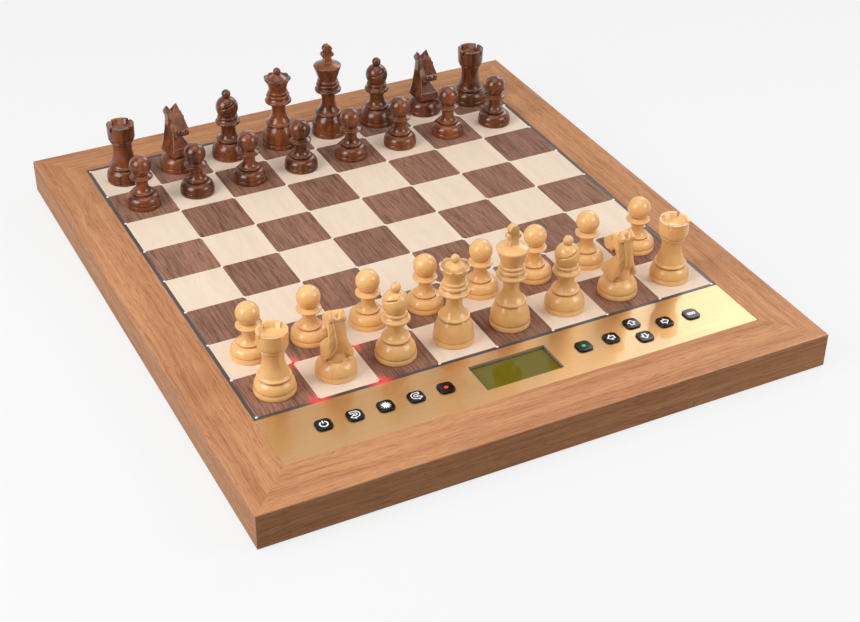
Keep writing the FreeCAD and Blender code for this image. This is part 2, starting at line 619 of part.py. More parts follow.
first_lamp = (f"-{GRID_HALF}", f"{BOARD_Y} - {GRID_HALF}")
lamp_hole = drill(core, [first_lamp], LAMP_HOLE, SURFACE, "Dims.board_thickness")
grid(core, lamp_hole, "Dims.square_size", LAMPS, "Dims.square_size", LAMPS)
parts.append(core)


def square_tile(column, rank):
    """One square, hollowed at its corners round the lamps."""
    x0 = f"({column} * Dims.square_size - {GRID_HALF})"
    y0 = f"({BOARD_Y} + {rank} * Dims.square_size - {GRID_HALF})"
    x1, y1 = f"({x0} + Dims.square_size)", f"({y0} + Dims.square_size)"
    return [
        ("line", f"{x1} - {LAMP_HOLE}", y0), ("upright_start", x1, f"{y0} + {LAMP_HOLE}"),
        ("line", x1, f"{y1} - {LAMP_HOLE}"), ("upright_end", f"{x1} - {LAMP_HOLE}", y1),
        ("line", f"{x0} + {LAMP_HOLE}", y1), ("upright_start", x0, f"{y1} - {LAMP_HOLE}"),
        ("line", x0, f"{y0} + {LAMP_HOLE}"), ("upright_end", f"{x0} + {LAMP_HOLE}", y0),
    ]


def squares(label, first_column):
    """Half the squares: every second one along each rank, starting at first_column on rank one."""
    body = new_body(label)
    tiles = [square_tile(first_column, 0), square_tile(1 - first_column, 1)]
    tile_bottom = f"({SURFACE} - Dims.veneer_thickness)"
    tile = pad(body, tiles, tile_bottom, "Dims.veneer_thickness")
    grid(body, tile, "2 * Dims.square_size", SQUARES // 2, "2 * Dims.square_size", SQUARES // 2)
    parts.append(body)


squares("dark_squares", 0)
squares("light_squares", 1)

lamps = new_body("corner_lamps")
lamp_sketch = new_sketch(lamps, height=CORE_BOTTOM)
draw_circle(lamp_sketch, f"-{GRID_HALF}", f"{BOARD_Y} - {GRID_HALF}", "Dims.led_radius")
lamp = feature(lamps, "Pad", lamp_sketch, "Dims.board_thickness + Dims.led_dome")
ease(lamps, "Chamfer", "Dims.led_dome", lambda edge: edge.BoundBox.ZMin > value(SURFACE))
lamp_grid = lamps.newObject("PartDesign::LinearPattern", "corner_lamps_grid")
lamp_grid.TransformMode = "Whole shape"
lamp_grid.Direction = (origin_feature(lamps, "X_Axis"), [""])
lamp_grid.setExpression("Length", f"Dims.square_size * {SQUARES}")
lamp_grid.Occurrences = LAMPS
lamp_grid.Direction2 = (origin_feature(lamps, "Y_Axis"), [""])
lamp_grid.setExpression("Length2", f"Dims.square_size * {SQUARES}")
lamp_grid.Occurrences2 = LAMPS
lamps.Tip = lamp_grid
doc.recompute()
parts.append(lamps)


# Control panel: brass plate, display, buttons and the circuit boards

HOLE_HALF = "(Dims.button_width / 2 + Dims.button_clearance)"
HOLE_CORNER = "(Dims.button_corner_radius + Dims.button_clearance)"
plate = new_body("control_panel")
plate_rear = f"{PLATE_REAR} - Dims.joint_clearance"
plate_outline = rectangle(f"-{CORE_HALF}", CORE_HALF, CORE_FRONT, plate_rear)
window = display_rectangle("Dims.display_width / 2", "Dims.display_depth / 2")
pad(plate, [plate_outline, window], PLATE_BOTTOM, "Dims.plate_thickness")
for name in BUTTONS:
    button_hole = rounded_square(*button_place(name), HOLE_HALF, HOLE_CORNER)
    pocket(plate, [button_hole], SURFACE, "Dims.plate_thickness")
parts.append(plate)

GLASS_TOP = f"({PLATE_BOTTOM} - Dims.glass_drop)"
GLASS_HALF_X = "(Dims.display_width / 2 + Dims.glass_margin)"
GLASS_HALF_Y = "(Dims.display_depth / 2 + Dims.glass_margin)"
glass = new_body("display_glass")
pad(glass, [display_rectangle(GLASS_HALF_X, GLASS_HALF_Y)], f"{GLASS_TOP} - Dims.glass_thickness",
    "Dims.glass_thickness")
parts.append(glass)

bezel = new_body("display_bezel")
bezel_height = f"({GLASS_TOP} + Dims.bezel_lip_thickness - {CORE_BOTTOM})"
pad(bezel, [display_rectangle(BEZEL_HALF_X, BEZEL_HALF_Y)], CORE_BOTTOM, bezel_height)
pocket(bezel, [display_rectangle(GLASS_HALF_X, GLASS_HALF_Y)], GLASS_TOP, "Dims.glass_thickness")
opening = display_rectangle(f"({GLASS_HALF_X} - Dims.bezel_lip)", f"({GLASS_HALF_Y} - Dims.bezel_lip)")
pocket(bezel, [opening], f"{GLASS_TOP} + Dims.bezel_lip_thickness", "Dims.bezel_lip_thickness")
parts.append(bezel)

button = new_body("button_pattern")
flange_top = "(-Dims.plate_thickness)"
pad(button, [rounded_square("0", "0", FLANGE_HALF, FLANGE_CORNER)], f"{flange_top} - Dims.flange_thickness",
    "Dims.flange_thickness")
pad(button, [rounded_square("0", "0", "Dims.button_width / 2", "Dims.button_corner_radius")], flange_top,
    "Dims.plate_thickness + Dims.button_rise")
ease(button, "Chamfer", "Dims.button_bevel",
     lambda edge: edge.BoundBox.ZMin > value("Dims.button_rise") - 1e-6)
STEM_END = f"({CORE_BOTTOM} + Dims.switch_height + Dims.switch_gap + Dims.button_travel - {SURFACE})"
stem_sketch = new_sketch(button, height=STEM_END)
draw_circle(stem_sketch, "0", "0", "Dims.button_stem_radius")
feature(button, "Pad", stem_sketch, f"{flange_top} - Dims.flange_thickness - {STEM_END}")
for name in BUTTONS:
    parts.append(copy_of(button, name, *button_place(name), SURFACE))

main_board = new_body("main_board")
circuit_half = f"({HALF_INSIDE} - Dims.circuit_margin)"
pad(main_board, [rectangle(f"-{circuit_half}", circuit_half, f"{FRONT_IN} + Dims.circuit_margin",
                           f"{PLATE_REAR} - Dims.circuit_gap / 2")], CIRCUIT_BOTTOM, "Dims.circuit_thickness")
switch_half = "Dims.switch_width / 2"
for name in BUTTONS:
    x, y = button_place(name)
    switch = rectangle(f"{x} - {switch_half}", f"{x} + {switch_half}",
                       f"{y} - {switch_half}", f"{y} + {switch_half}")
    pad(main_board, [switch], CORE_BOTTOM, "Dims.switch_height")
parts.append(main_board)

sensor_board = new_body("sensor_board")
pad(sensor_board, [rectangle(f"-{circuit_half}", circuit_half, f"{PLATE_REAR} + Dims.circuit_gap / 2",
                             f"{REAR_IN} - Dims.circuit_margin")], CIRCUIT_BOTTOM, "Dims.circuit_thickness")
parts.append(sensor_board)


# Bottom panel, its screws, the feet and the power socket

BASE_HALF = f"({HALF_INSIDE} + Dims.base_rebate - Dims.joint_clearance)"
BASE_FRONT = f"({FRONT_IN} - Dims.base_rebate + Dims.joint_clearance)"
BASE_REAR = f"({REAR_IN} + Dims.base_rebate - Dims.joint_clearance)"
SCREW_LINE = "(Dims.base_rebate / 2)"
CROSS_SCREWS, SIDE_SCREWS = 4, 3
CROSS_FIRST = f"(-{HALF_INSIDE} + Dims.screw_corner_inset)"
CROSS_STEP = f"(-2 * {CROSS_FIRST} / {CROSS_SCREWS - 1})"
FRONT_SCREW_Y, REAR_SCREW_Y = f"({FRONT_IN} - {SCREW_LINE})", f"({REAR_IN} + {SCREW_LINE})"
SIDE_SCREW_X = f"({HALF_INSIDE} + {SCREW_LINE})"
SIDE_FIRST = f"({FRONT_IN} + Dims.screw_corner_inset)"
SIDE_STEP = f"(({REAR_IN} - Dims.screw_corner_inset - {SIDE_FIRST}) / {SIDE_SCREWS - 1})"
SCREW_PLACES = [(f"({CROSS_FIRST} + {k} * {CROSS_STEP})", y)
                for y in (FRONT_SCREW_Y, REAR_SCREW_Y) for k in range(CROSS_SCREWS)]
SCREW_PLACES += [(x, f"({SIDE_FIRST} + {k} * {SIDE_STEP})")
                 for x in (f"(-{SIDE_SCREW_X})", SIDE_SCREW_X) for k in range(SIDE_SCREWS)]
PILOT = "(Dims.screw_shank_radius + Dims.screw_clearance)"
pilot_top = f"({FRAME_BOTTOM} + Dims.screw_length + Dims.screw_clearance)"
for body, along in ((front_rail, SCREW_PLACES[:CROSS_SCREWS]),
                    (rear_rail, SCREW_PLACES[CROSS_SCREWS:2 * CROSS_SCREWS]),
                    (left_rail, SCREW_PLACES[2 * CROSS_SCREWS:-SIDE_SCREWS]),
                    (right_rail, SCREW_PLACES[-SIDE_SCREWS:])):
    drill(body, along, PILOT, pilot_top, f"{pilot_top} - {BASE_TOP}")

base = new_body("bottom_panel")
pad(base, [rectangle(f"-{BASE_HALF}", BASE_HALF, BASE_FRONT, BASE_REAR)], FRAME_BOTTOM, "Dims.base_thickness")
drill(base, SCREW_PLACES, PILOT, BASE_TOP, "Dims.base_thickness")
sink = "(Dims.screw_head_radius + Dims.screw_clearance)"
sink_sketch = new_sketch(base, height=f"{FRAME_BOTTOM} + Dims.screw_head_height")
for x, y in SCREW_PLACES:
    draw_circle(sink_sketch, x, y, PILOT)
sink_angle = f"atan(({sink} - {PILOT}) / Dims.screw_head_height)"
countersink = feature(base, "Pocket", sink_sketch, "Dims.screw_head_height")
countersink.setExpression("TaperAngle", sink_angle)
parts.append(base)

screws = new_body("bottom_screws")
head_sketch = new_sketch(screws, height=FRAME_BOTTOM)
for x, y in SCREW_PLACES:
    draw_circle(head_sketch, x, y, "Dims.screw_head_radius")
heads = feature(screws, "Pad", head_sketch, "Dims.screw_head_height")
heads.setExpression("TaperAngle",
                    "-atan((Dims.screw_head_radius - Dims.screw_shank_radius) / Dims.screw_head_height)")
shank_sketch = new_sketch(screws, height=f"{FRAME_BOTTOM} + Dims.screw_head_height")
for x, y in SCREW_PLACES:
    draw_circle(shank_sketch, x, y, "Dims.screw_shank_radius")
feature(screws, "Pad", shank_sketch, "Dims.screw_length - Dims.screw_head_height")
parts.append(screws)

feet = new_body("feet")
FOOT_X = f"({HALF_INSIDE} - Dims.foot_inset)"
foot_sketch = new_sketch(feet)
for x in (f"(-{FOOT_X})", FOOT_X):
    for y in (f"({FRONT_IN} + Dims.foot_inset)", f"({REAR_IN} - Dims.foot_inset)"):
        draw_circle(foot_sketch, x, y, "Dims.foot_radius - Dims.foot_taper")
foot_pads = feature(feet, "Pad", foot_sketch, "Dims.foot_height")
foot_pads.setExpression("TaperAngle", "atan(Dims.foot_taper / Dims.foot_height)")
parts.append(feet)

socket = new_body("power_socket")
turn(socket, [
    ("line", "0", "-Dims.socket_body_length"),
    ("line", "Dims.socket_body_radius", "-Dims.socket_body_length"),
    ("line", "Dims.socket_body_radius", "0"),
    ("line", "Dims.socket_flange_radius", "0"),
    ("line", "Dims.socket_flange_radius", "Dims.socket_flange_thickness"),
    ("line", "Dims.socket_bore_radius", "Dims.socket_flange_thickness"),
    ("line", "Dims.socket_bore_radius", "Dims.socket_flange_thickness - Dims.socket_bore_depth"),
    ("line", "Dims.socket_pin_radius", "Dims.socket_flange_thickness - Dims.socket_bore_depth"),
    ("line", "Dims.socket_pin_radius", "Dims.socket_flange_thickness - Dims.socket_pin_recess"),
    ("line", "0", "Dims.socket_flange_thickness - Dims.socket_pin_recess"),
])
socket.Placement = Placement(Vector(), Rotation(Vector(1, 0, 0), -90))
SOCKET_X = f"({HALF_INSIDE} - Dims.socket_corner_inset)"
SOCKET_SEAT = f"({REAR_OUT} - Dims.socket_flange_thickness)"
for axis, place in zip("xyz", (SOCKET_X, SOCKET_SEAT, "Dims.socket_height")):
    socket.setExpression(f"Placement.Base.{axis}", place)
parts.append(socket)
for radius, start, depth in (
        ("Dims.socket_flange_radius + Dims.joint_clearance", REAR_OUT, "Dims.socket_flange_thickness"),
        ("Dims.socket_body_radius + Dims.joint_clearance", SOCKET_SEAT,
         "Dims.socket_body_length + Dims.joint_clearance"),
        ("Dims.lead_hole_radius", SOCKET_SEAT, "Dims.rear_rail_width")):
    bore_sketch = new_sketch(rear_rail, "XZ_Plane", f"-{start}")
    draw_circle(bore_sketch, SOCKET_X, "Dims.socket_height", radius)
    feature(rear_rail, "Pocket", bore_sketch, depth, Reversed=True)


# Pieces: turned outlines of radii and heights, from the foot up

def plinth_foot(base_radius, bell_radius):
    """Plinth and groove, up to the foot of the bell."""
    groove = "(Dims.plinth_height + Dims.plinth_groove_half)"
    return [
        ("line", "0", "0"),
        ("line", f"{base_radius} - Dims.piece_edge", "0"),
        ("upright_end", base_radius, "Dims.piece_edge"),
        ("line", base_radius, "Dims.plinth_height"),
        ("line", f"{base_radius} - Dims.plinth_groove", groove),
        ("line", bell_radius, f"{groove} + Dims.plinth_groove_half"),
    ]


def plinth(base_radius, bell_radius, stem_foot, lip_z, lip_height):
    """Plinth, groove, bell and the round lip that the stem flares out to."""
    return plinth_foot(base_radius, bell_radius) + [
        ("upright_start", f"{stem_foot} - Dims.lip_shadow", f"{lip_z} - Dims.lip_shadow"),
        ("line", stem_foot, lip_z),
        ("half_round", stem_foot, f"{lip_z} + {lip_height}"),
    ]


def officer_plinth(lip_z, stem_foot="Dims.officer_stem_foot"):
    return plinth("Dims.officer_base_radius", "Dims.officer_bell_radius", stem_foot, lip_z, "Dims.lip_height")


def stem(piece):
    """Concave stem from the lip to the collar, and the collar with its round edge."""
    return [
        ("upright_end", f"Dims.{piece}_waist_radius", f"Dims.{piece}_waist_z"),
        ("upright_start", f"Dims.{piece}_neck_radius", f"Dims.{piece}_collar_z"),
        ("line", f"Dims.{piece}_collar_radius", f"Dims.{piece}_collar_z"),
        ("half_round", f"Dims.{piece}_collar_radius", f"Dims.{piece}_collar_z + Dims.{piece}_collar_height"),
    ]


def second_ring(piece):
    return [
        ("line", f"Dims.{piece}_ring_radius", f"Dims.{piece}_ring_z"),
        ("half_round", f"Dims.{piece}_ring_radius", f"Dims.{piece}_ring_z + Dims.{piece}_ring_height"),
    ]


def thin_ring(piece):
    return [
        ("line", f"Dims.{piece}_head_radius", f"Dims.{piece}_fillet_z"),
        ("half_round", f"Dims.{piece}_head_radius", f"Dims.{piece}_fillet_z + Dims.{piece}_fillet_height"),
        ("line", f"Dims.{piece}_head_radius", f"Dims.{piece}_head_z"),
    ]


def ball(piece, name, neck):
    """A ball that closes the outline on the axis, from the neck it stands on."""
    middle, radius = f"Dims.{piece}_{name}_z", f"Dims.{piece}_{name}_radius"
    seat = f"{middle} - sqrt({radius} ^ 2 - {neck} ^ 2)"
    return [
        ("line", neck, seat),
        ("upright_end", radius, middle),
        ("upright_start", "0", f"{middle} + {radius}"),
    ]


king = new_body("king_pattern")
turn(king, officer_plinth("Dims.king_lip_z") + stem("king") + second_ring("king") + thin_ring("king") + [
    ("line", "Dims.king_rim_radius", "Dims.king_rim_z"),
    ("line", "Dims.king_rim_radius - Dims.king_rim_bevel", "Dims.king_rim_z + Dims.king_rim_bevel"),
    ("line", "Dims.king_crown_radius", "Dims.king_crown_z"),
    ("line", "0", "Dims.king_crown_z"),
])
CROSS_FOOT = "(Dims.king_crown_z - Dims.king_rim_bevel)"
cross_right = [
    ("line", "Dims.cross_foot_half", CROSS_FOOT),
    ("upright_end", "Dims.cross_waist_half", "Dims.cross_arm_low"),
    ("line", "Dims.cross_arm_half", "Dims.cross_arm_low"),
    ("half_round", "Dims.cross_arm_half", "Dims.cross_arm_high"),
    ("line", "Dims.cross_notch_half", "Dims.cross_arm_high"),
    ("line", "Dims.cross_head_half", "Dims.cross_head_z"),
]
cross_left = [
    ("half_round", "-Dims.cross_head_half", "Dims.cross_head_z"),
    ("line", "-Dims.cross_notch_half", "Dims.cross_arm_high"),
    ("line", "-Dims.cross_arm_half", "Dims.cross_arm_high"),
    ("half_round", "-Dims.cross_arm_half", "Dims.cross_arm_low"),
    ("line", "-Dims.cross_waist_half", "Dims.cross_arm_low"),
    ("upright_start", "-Dims.cross_foot_half", CROSS_FOOT),
]
pad(king, [cross_right + cross_left], "0", "Dims.cross_thickness", role="XZ_Plane", Midplane=True)

queen = new_body("queen_pattern")
queen_rim_top = "(Dims.queen_rim_z + Dims.queen_rim_height)"
turn(queen, officer_plinth("Dims.queen_lip_z") + stem("queen") + second_ring("queen") + thin_ring("queen") + [
    ("upright_start", "Dims.queen_rim_radius", "Dims.queen_rim_z"),
    ("line", "Dims.queen_rim_radius", queen_rim_top),
    ("line", "Dims.queen_rim_radius - Dims.queen_rim_width", queen_rim_top),
    ("line", "Dims.queen_dish_radius", f"{queen_rim_top} - Dims.queen_dish_depth"),
] + ball("queen", "ball", "Dims.queen_ball_neck"))
scallop_sketch = new_sketch(queen, height="Dims.queen_scallop_z")
scallop_x = "Dims.queen_rim_radius + Dims.queen_scallop_reach"
draw_circle(scallop_sketch, scallop_x, "0", "Dims.queen_scallop_radius")
scallop = feature(queen, "Pocket", scallop_sketch, f"{queen_rim_top} - Dims.queen_scallop_z", Reversed=True)
ring_of(queen, scallop, 9)

bishop = new_body("bishop_pattern")
turn(bishop, officer_plinth("Dims.bishop_lip_z", "Dims.bishop_stem_foot") + stem("bishop")
     + second_ring("bishop") + [
    ("line", "Dims.bishop_throat_radius", "Dims.bishop_throat_z"),
    ("upright_end", "Dims.bishop_mitre_radius", "Dims.bishop_mitre_z"),
    ("upright_start", "Dims.bishop_ball_neck",
     "Dims.bishop_ball_z - sqrt(Dims.bishop_ball_radius ^ 2 - Dims.bishop_ball_neck ^ 2)"),
] + ball("bishop", "ball", "Dims.bishop_ball_neck")[1:])
slot_half_x = "(Dims.bishop_mitre_radius + Dims.bishop_slot_width)"
slot_outline = [
    ("line", f"-{slot_half_x}", "Dims.bishop_slot_low_z"),
    ("line", slot_half_x, "Dims.bishop_slot_high_z"),
    ("line", slot_half_x, "Dims.bishop_slot_high_z + Dims.bishop_slot_width"),
    ("line", f"-{slot_half_x}", "Dims.bishop_slot_low_z + Dims.bishop_slot_width"),
]
slot_bottom = "Dims.bishop_mitre_radius - Dims.bishop_slot_depth"
pocket(bishop, [slot_outline], slot_bottom, "Dims.bishop_mitre_radius", role="XZ_Plane", Reversed=True)

rook = new_body("rook_pattern")
ROOK_FLOOR = "(Dims.rook_height - Dims.rook_cup_depth)"
ROOK_CUP = "(Dims.rook_rim_radius - Dims.rook_wall)"
turn(rook, officer_plinth("Dims.rook_lip_z", "Dims.rook_stem_foot") + [
    ("upright_end", "Dims.rook_waist_radius", "Dims.rook_waist_z"),
    ("upright_start", "Dims.rook_neck_radius", "Dims.rook_ring_z"),
    ("line", "Dims.rook_ring_radius", "Dims.rook_ring_z"),
    ("half_round", "Dims.rook_ring_radius", "Dims.rook_ring_z + Dims.rook_ring_height"),
    ("line", "Dims.rook_tower_foot", "Dims.rook_ring_z + Dims.rook_ring_height"),
    ("upright_end", "Dims.rook_tower_radius", "Dims.rook_tower_z"),
    ("line", "Dims.rook_rim_radius", "Dims.rook_height"),
    ("line", ROOK_CUP, "Dims.rook_height"),
    ("line", ROOK_CUP, ROOK_FLOOR),
    ("line", "0", ROOK_FLOOR),
])
slot = pocket(rook, [rectangle(f"{ROOK_CUP} - Dims.rook_wall", "Dims.rook_rim_radius + Dims.rook_wall",
                               "-Dims.rook_slot_width / 2", "Dims.rook_slot_width / 2")],
              ROOK_FLOOR, "Dims.rook_cup_depth", Reversed=True)
ring_of(rook, slot, 4)

pawn = new_body("pawn_pattern")
turn(pawn, plinth("Dims.pawn_base_radius", "Dims.pawn_bell_radius", "Dims.pawn_stem_foot", "Dims.pawn_lip_z",
                  "Dims.pawn_lip_height") + stem("pawn") + ball("pawn", "head", "Dims.pawn_throat_radius"))

# The knight's carving is what its side, front and top outlines have in common. It looks along +Y.
knight_seat = new_body("knight_seat")
seat_top = "(Dims.knight_carving_z + Dims.piece_edge)"
turn(knight_seat, plinth_foot("Dims.officer_base_radius", "Dims.officer_bell_radius") + [
    ("upright_start", "Dims.knight_bell_top_radius", "Dims.knight_bell_top_z"),
    ("line", "Dims.knight_seat_radius", "Dims.knight_seat_z"),
    ("line", "Dims.knight_seat_radius", seat_top),
    ("line", "0", seat_top),
])
WIDE = "(4 * Dims.knight_shoulder_half)"
knight_side = new_body("knight_side")
pad(knight_side, [[
    ("line", "-Dims.knight_back_y", "Dims.knight_carving_z"),
    ("line", "Dims.knight_chest_y", "Dims.knight_carving_z"),
    ("line", "Dims.knight_breast_y", "Dims.knight_breast_z"),
    ("line", "Dims.knight_throat_y", "Dims.knight_throat_z"),
    ("line", "Dims.knight_jaw_y", "Dims.knight_jaw_z"),
    ("line", "Dims.knight_chin_y", "Dims.knight_chin_z"),
    ("line", "Dims.knight_lip_y", "Dims.knight_lip_z"),
    ("line", "Dims.knight_nose_y", "Dims.knight_nose_z"),
    ("line", "Dims.knight_nose_top_y", "Dims.knight_nose_top_z"),
    ("line", "Dims.knight_brow_y", "Dims.knight_brow_z"),
    ("line", "-Dims.knight_forelock_y", "Dims.knight_notch_z"),
    ("line", "-Dims.knight_ear_y", "Dims.knight_ear_z"),
    ("line", "-Dims.knight_poll_y", "Dims.knight_poll_z"),
    ("line", "Dims.knight_groove_depth - Dims.knight_poll_y",
     "Dims.knight_poll_z - Dims.knight_groove_width / 2"),
    ("line", "-Dims.knight_poll_y", "Dims.knight_poll_z - Dims.knight_groove_width"),
    ("line", "-Dims.knight_crest_y", "Dims.knight_crest_z"),
]], "0", WIDE, role="YZ_Plane", Midplane=True)
knight_front = new_body("knight_front")
knight_right = [
    ("line", "Dims.knight_foot_half", "Dims.knight_carving_z"),
    ("line", "Dims.knight_shoulder_half", "Dims.knight_shoulder_z"),
    ("line", "Dims.knight_flank_half", "Dims.knight_flank_z"),
    ("line", "Dims.knight_neck_half", "Dims.knight_neck_z"),
    ("line", "Dims.knight_head_half", "Dims.knight_poll_z"),
    ("line", "Dims.knight_ear_half", "Dims.knight_ear_z"),
]
knight_left = [("line", f"-{x}", z) for _, x, z in reversed(knight_right)]
pad(knight_front, [knight_right + [("line", "0", "Dims.knight_notch_z")] + knight_left], "0", WIDE,
    role="XZ_Plane", Midplane=True)
knight_top = new_body("knight_top")
top_right = [
    ("line", "Dims.knight_band_half", "-Dims.knight_crest_y"),
    ("line", "Dims.knight_shoulder_half", "-Dims.knight_flank_y"),
    ("line", "Dims.knight_breast_half", "Dims.knight_chest_y"),
    ("line", "Dims.knight_muzzle_half", "Dims.knight_nose_y"),
]
top_left = [("line", f"-{x}", y) for _, x, y in reversed(top_right)]
pad(knight_top, [top_right + top_left], "0", "2 * Dims.knight_ear_z")
carving = doc.addObject("Part::MultiCommon", "knight_carving")
carving.Shapes = [knight_side, knight_front, knight_top]

# Both sides are then taken in: the cheeks beside the face, and a scoop up the flank to the throat, where it is
# deepest, and out again below the head.
scoop_levels = [
    ("Dims.knight_shoulder_z",
     ("Dims.knight_shoulder_half + Dims.knight_scoop_gap", "-Dims.knight_flank_y"),
     ("Dims.knight_breast_half + Dims.knight_scoop_gap", "Dims.knight_chest_y + 4 * Dims.knight_scoop_gap")),
    ("Dims.knight_throat_z",
     ("Dims.knight_scoop_back_half", "-Dims.knight_crest_y"),
     ("Dims.knight_scoop_half", "Dims.knight_scoop_y")),
    ("Dims.knight_scoop_top",
     ("Dims.knight_neck_half", "-Dims.knight_crest_y"),
     ("Dims.knight_cheek_half", "Dims.knight_scoop_y")),
]
hollows = []
for side, sign in (("right", ""), ("left", "-")):
    cheek = new_body(f"knight_{side}_cheek")
    pad(cheek, [rectangle(f"{sign}Dims.knight_cheek_half", f"{sign}Dims.knight_shoulder_half",
                          "Dims.knight_cheek_y", "2 * Dims.knight_nose_y")],
        "Dims.knight_throat_z", "Dims.knight_ear_z - Dims.knight_throat_z")
    scoop = new_body(f"knight_{side}_scoop")
    sections = []
    for level, (back_x, back_y), (front_x, front_y) in scoop_levels:
        section = new_sketch(scoop, height=level)
        draw(section, [
            ("line", f"{sign}({back_x})", back_y),
            ("line", f"{sign}{WIDE}", back_y),
            ("line", f"{sign}{WIDE}", front_y),
            ("line", f"{sign}({front_x})", front_y),
        ])
        sections.append(section)
    feature(scoop, "AdditiveLoft", sections[0], Sections=sections[1:], Ruled=True)
    hollows += [cheek, scoop]
taken = doc.addObject("Part::MultiFuse", "knight_hollows")
taken.Shapes = hollows
head = doc.addObject("Part::Cut", "knight_head")
head.Base = carving
head.Tool = taken
knight = doc.addObject("Part::MultiFuse", "knight_pattern")
knight.Shapes = [knight_seat, head]
doc.recompute()

# The set as it stands at the start of a game, each piece turned as it was put down, in degrees.
FILES = "abcdefgh"
OFFICERS = [rook, knight, bishop, queen, king, bishop, knight, rook]
OFFICER_NAMES = ["rook_a", "knight_b", "bishop_c", "queen", "king", "bishop_f", "knight_g", "rook_h"]
WHITE_TURNS = [20, -10, -75, 0, 0, -8, 0, 40]
BLACK_TURNS = [30, 187, 0, 0, 0, 0, 180, 30]
SIDES = [("white", 0, 1, WHITE_TURNS), ("black", SQUARES - 1, SQUARES - 2, BLACK_TURNS)]


def stand(original, label, column, rank, turned):
    x = f"({column} + 0.5) * Dims.square_size - {GRID_HALF}"
    y = f"{BOARD_Y} + ({rank} + 0.5) * Dims.square_size - {GRID_HALF}"
    parts.append(copy_of(original, label, x, y, SURFACE, turned))


for side, officer_rank, pawn_rank, turns in SIDES:
    for column in range(SQUARES):
        stand(OFFICERS[column], f"{side}_{OFFICER_NAMES[column]}", column, officer_rank, turns[column])
        stand(pawn, f"{side}_pawn_{FILES[column]}", column, pawn_rank, 0)


# Tests, then one file for each part

doc.recompute()
for item in doc.Objects:
    if {"Invalid", "Error"} & set(item.State):
        raise RuntimeError(f"{item.Label} failed: {item.State}")
for item in parts:
    if item.Shape.isNull() or not item.Shape.isValid():
        raise RuntimeError(f"{item.Label} has no sound shape")
os.makedirs("parts", exist_ok=True)
for item in parts:
    item.Shape.exportStep(f"parts/{item.Label}.step")
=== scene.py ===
"""Looks of the electronic chess computer: walnut frame, veneered squares with a lamp at every corner,
brass control panel with a display and push buttons, and turned and carved pieces.

Metres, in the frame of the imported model. White's side is towards -Y.
"""

import math

import bmesh
import bpy
import numpy
from bpy.props import FloatProperty, FloatVectorProperty, PointerProperty
from mathutils import Matrix, Vector


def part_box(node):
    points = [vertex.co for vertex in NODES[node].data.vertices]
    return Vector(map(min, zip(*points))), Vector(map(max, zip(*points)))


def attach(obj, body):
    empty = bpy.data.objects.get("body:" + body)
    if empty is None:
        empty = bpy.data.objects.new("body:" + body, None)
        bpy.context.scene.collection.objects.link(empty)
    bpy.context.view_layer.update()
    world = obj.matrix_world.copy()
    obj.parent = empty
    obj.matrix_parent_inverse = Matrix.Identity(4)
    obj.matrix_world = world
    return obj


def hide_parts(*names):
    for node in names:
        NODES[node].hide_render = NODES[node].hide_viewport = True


bl_info = {
    "name": "Chess computer looks",
    "version": (1, 0, 0),
    "blender": (4, 5, 0),
    "location": "3D View > Sidebar > Chess computer",
    "description": "Dresses the packed chess computer in wood, brass, lamps and carved pieces",
    "category": "Object",
}

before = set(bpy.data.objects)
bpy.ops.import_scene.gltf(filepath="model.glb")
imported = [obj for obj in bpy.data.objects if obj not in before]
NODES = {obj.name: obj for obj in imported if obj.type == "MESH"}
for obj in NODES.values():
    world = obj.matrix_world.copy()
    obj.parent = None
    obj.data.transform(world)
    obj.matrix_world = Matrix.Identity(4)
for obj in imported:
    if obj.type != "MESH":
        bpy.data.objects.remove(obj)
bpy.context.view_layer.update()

MM = 0.001
SQUARES = 8
GRID_LOW, GRID_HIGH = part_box("dark_squares")
SQUARE = (GRID_HIGH.x - GRID_LOW.x) / SQUARES
SURFACE = GRID_HIGH.z
FILES = "abcdefgh"
# The square whose four corner lamps are lit: its file and rank, counted from nought.
LIT_SQUARE = (1, 0)
# How far each knight is turned from looking along +Y, in degrees.
KNIGHT_TURNS = {"white_knight_b": -10, "white_knight_g": 0, "black_knight_b": 187, "black_knight_g": 180}


def square_middle(column, rank):
    return Vector((GRID_LOW.x + (column + 0.5) * SQUARE, GRID_LOW.y + (rank + 0.5) * SQUARE, SURFACE))


LIT_MIDDLE = square_middle(*LIT_SQUARE)


def colour(text):
    """An sRGB hex colour as linear red, green, blue and alpha."""
    parts = [int(text[k:k + 2], 16) / 255 for k in (0, 2, 4)]
    return [c / 12.92 if c <= 0.04045 else ((c + 0.055) / 1.055) ** 2.4 for c in parts] + [1.0]


def times(shade, factor):
    """A colour made darker or lighter."""
    return [c * factor for c in shade[:3]] + [1.0]


def tint(name, description, text):
    return FloatVectorProperty(name=name, description=description, default=colour(text), size=4,
                               subtype="COLOR", min=0.0, max=1.0)


def length(name, description, millimetres):
    return FloatProperty(name=name, description=description, default=millimetres * MM, min=0.0,
                         subtype="DISTANCE", unit="LENGTH", precision=5)


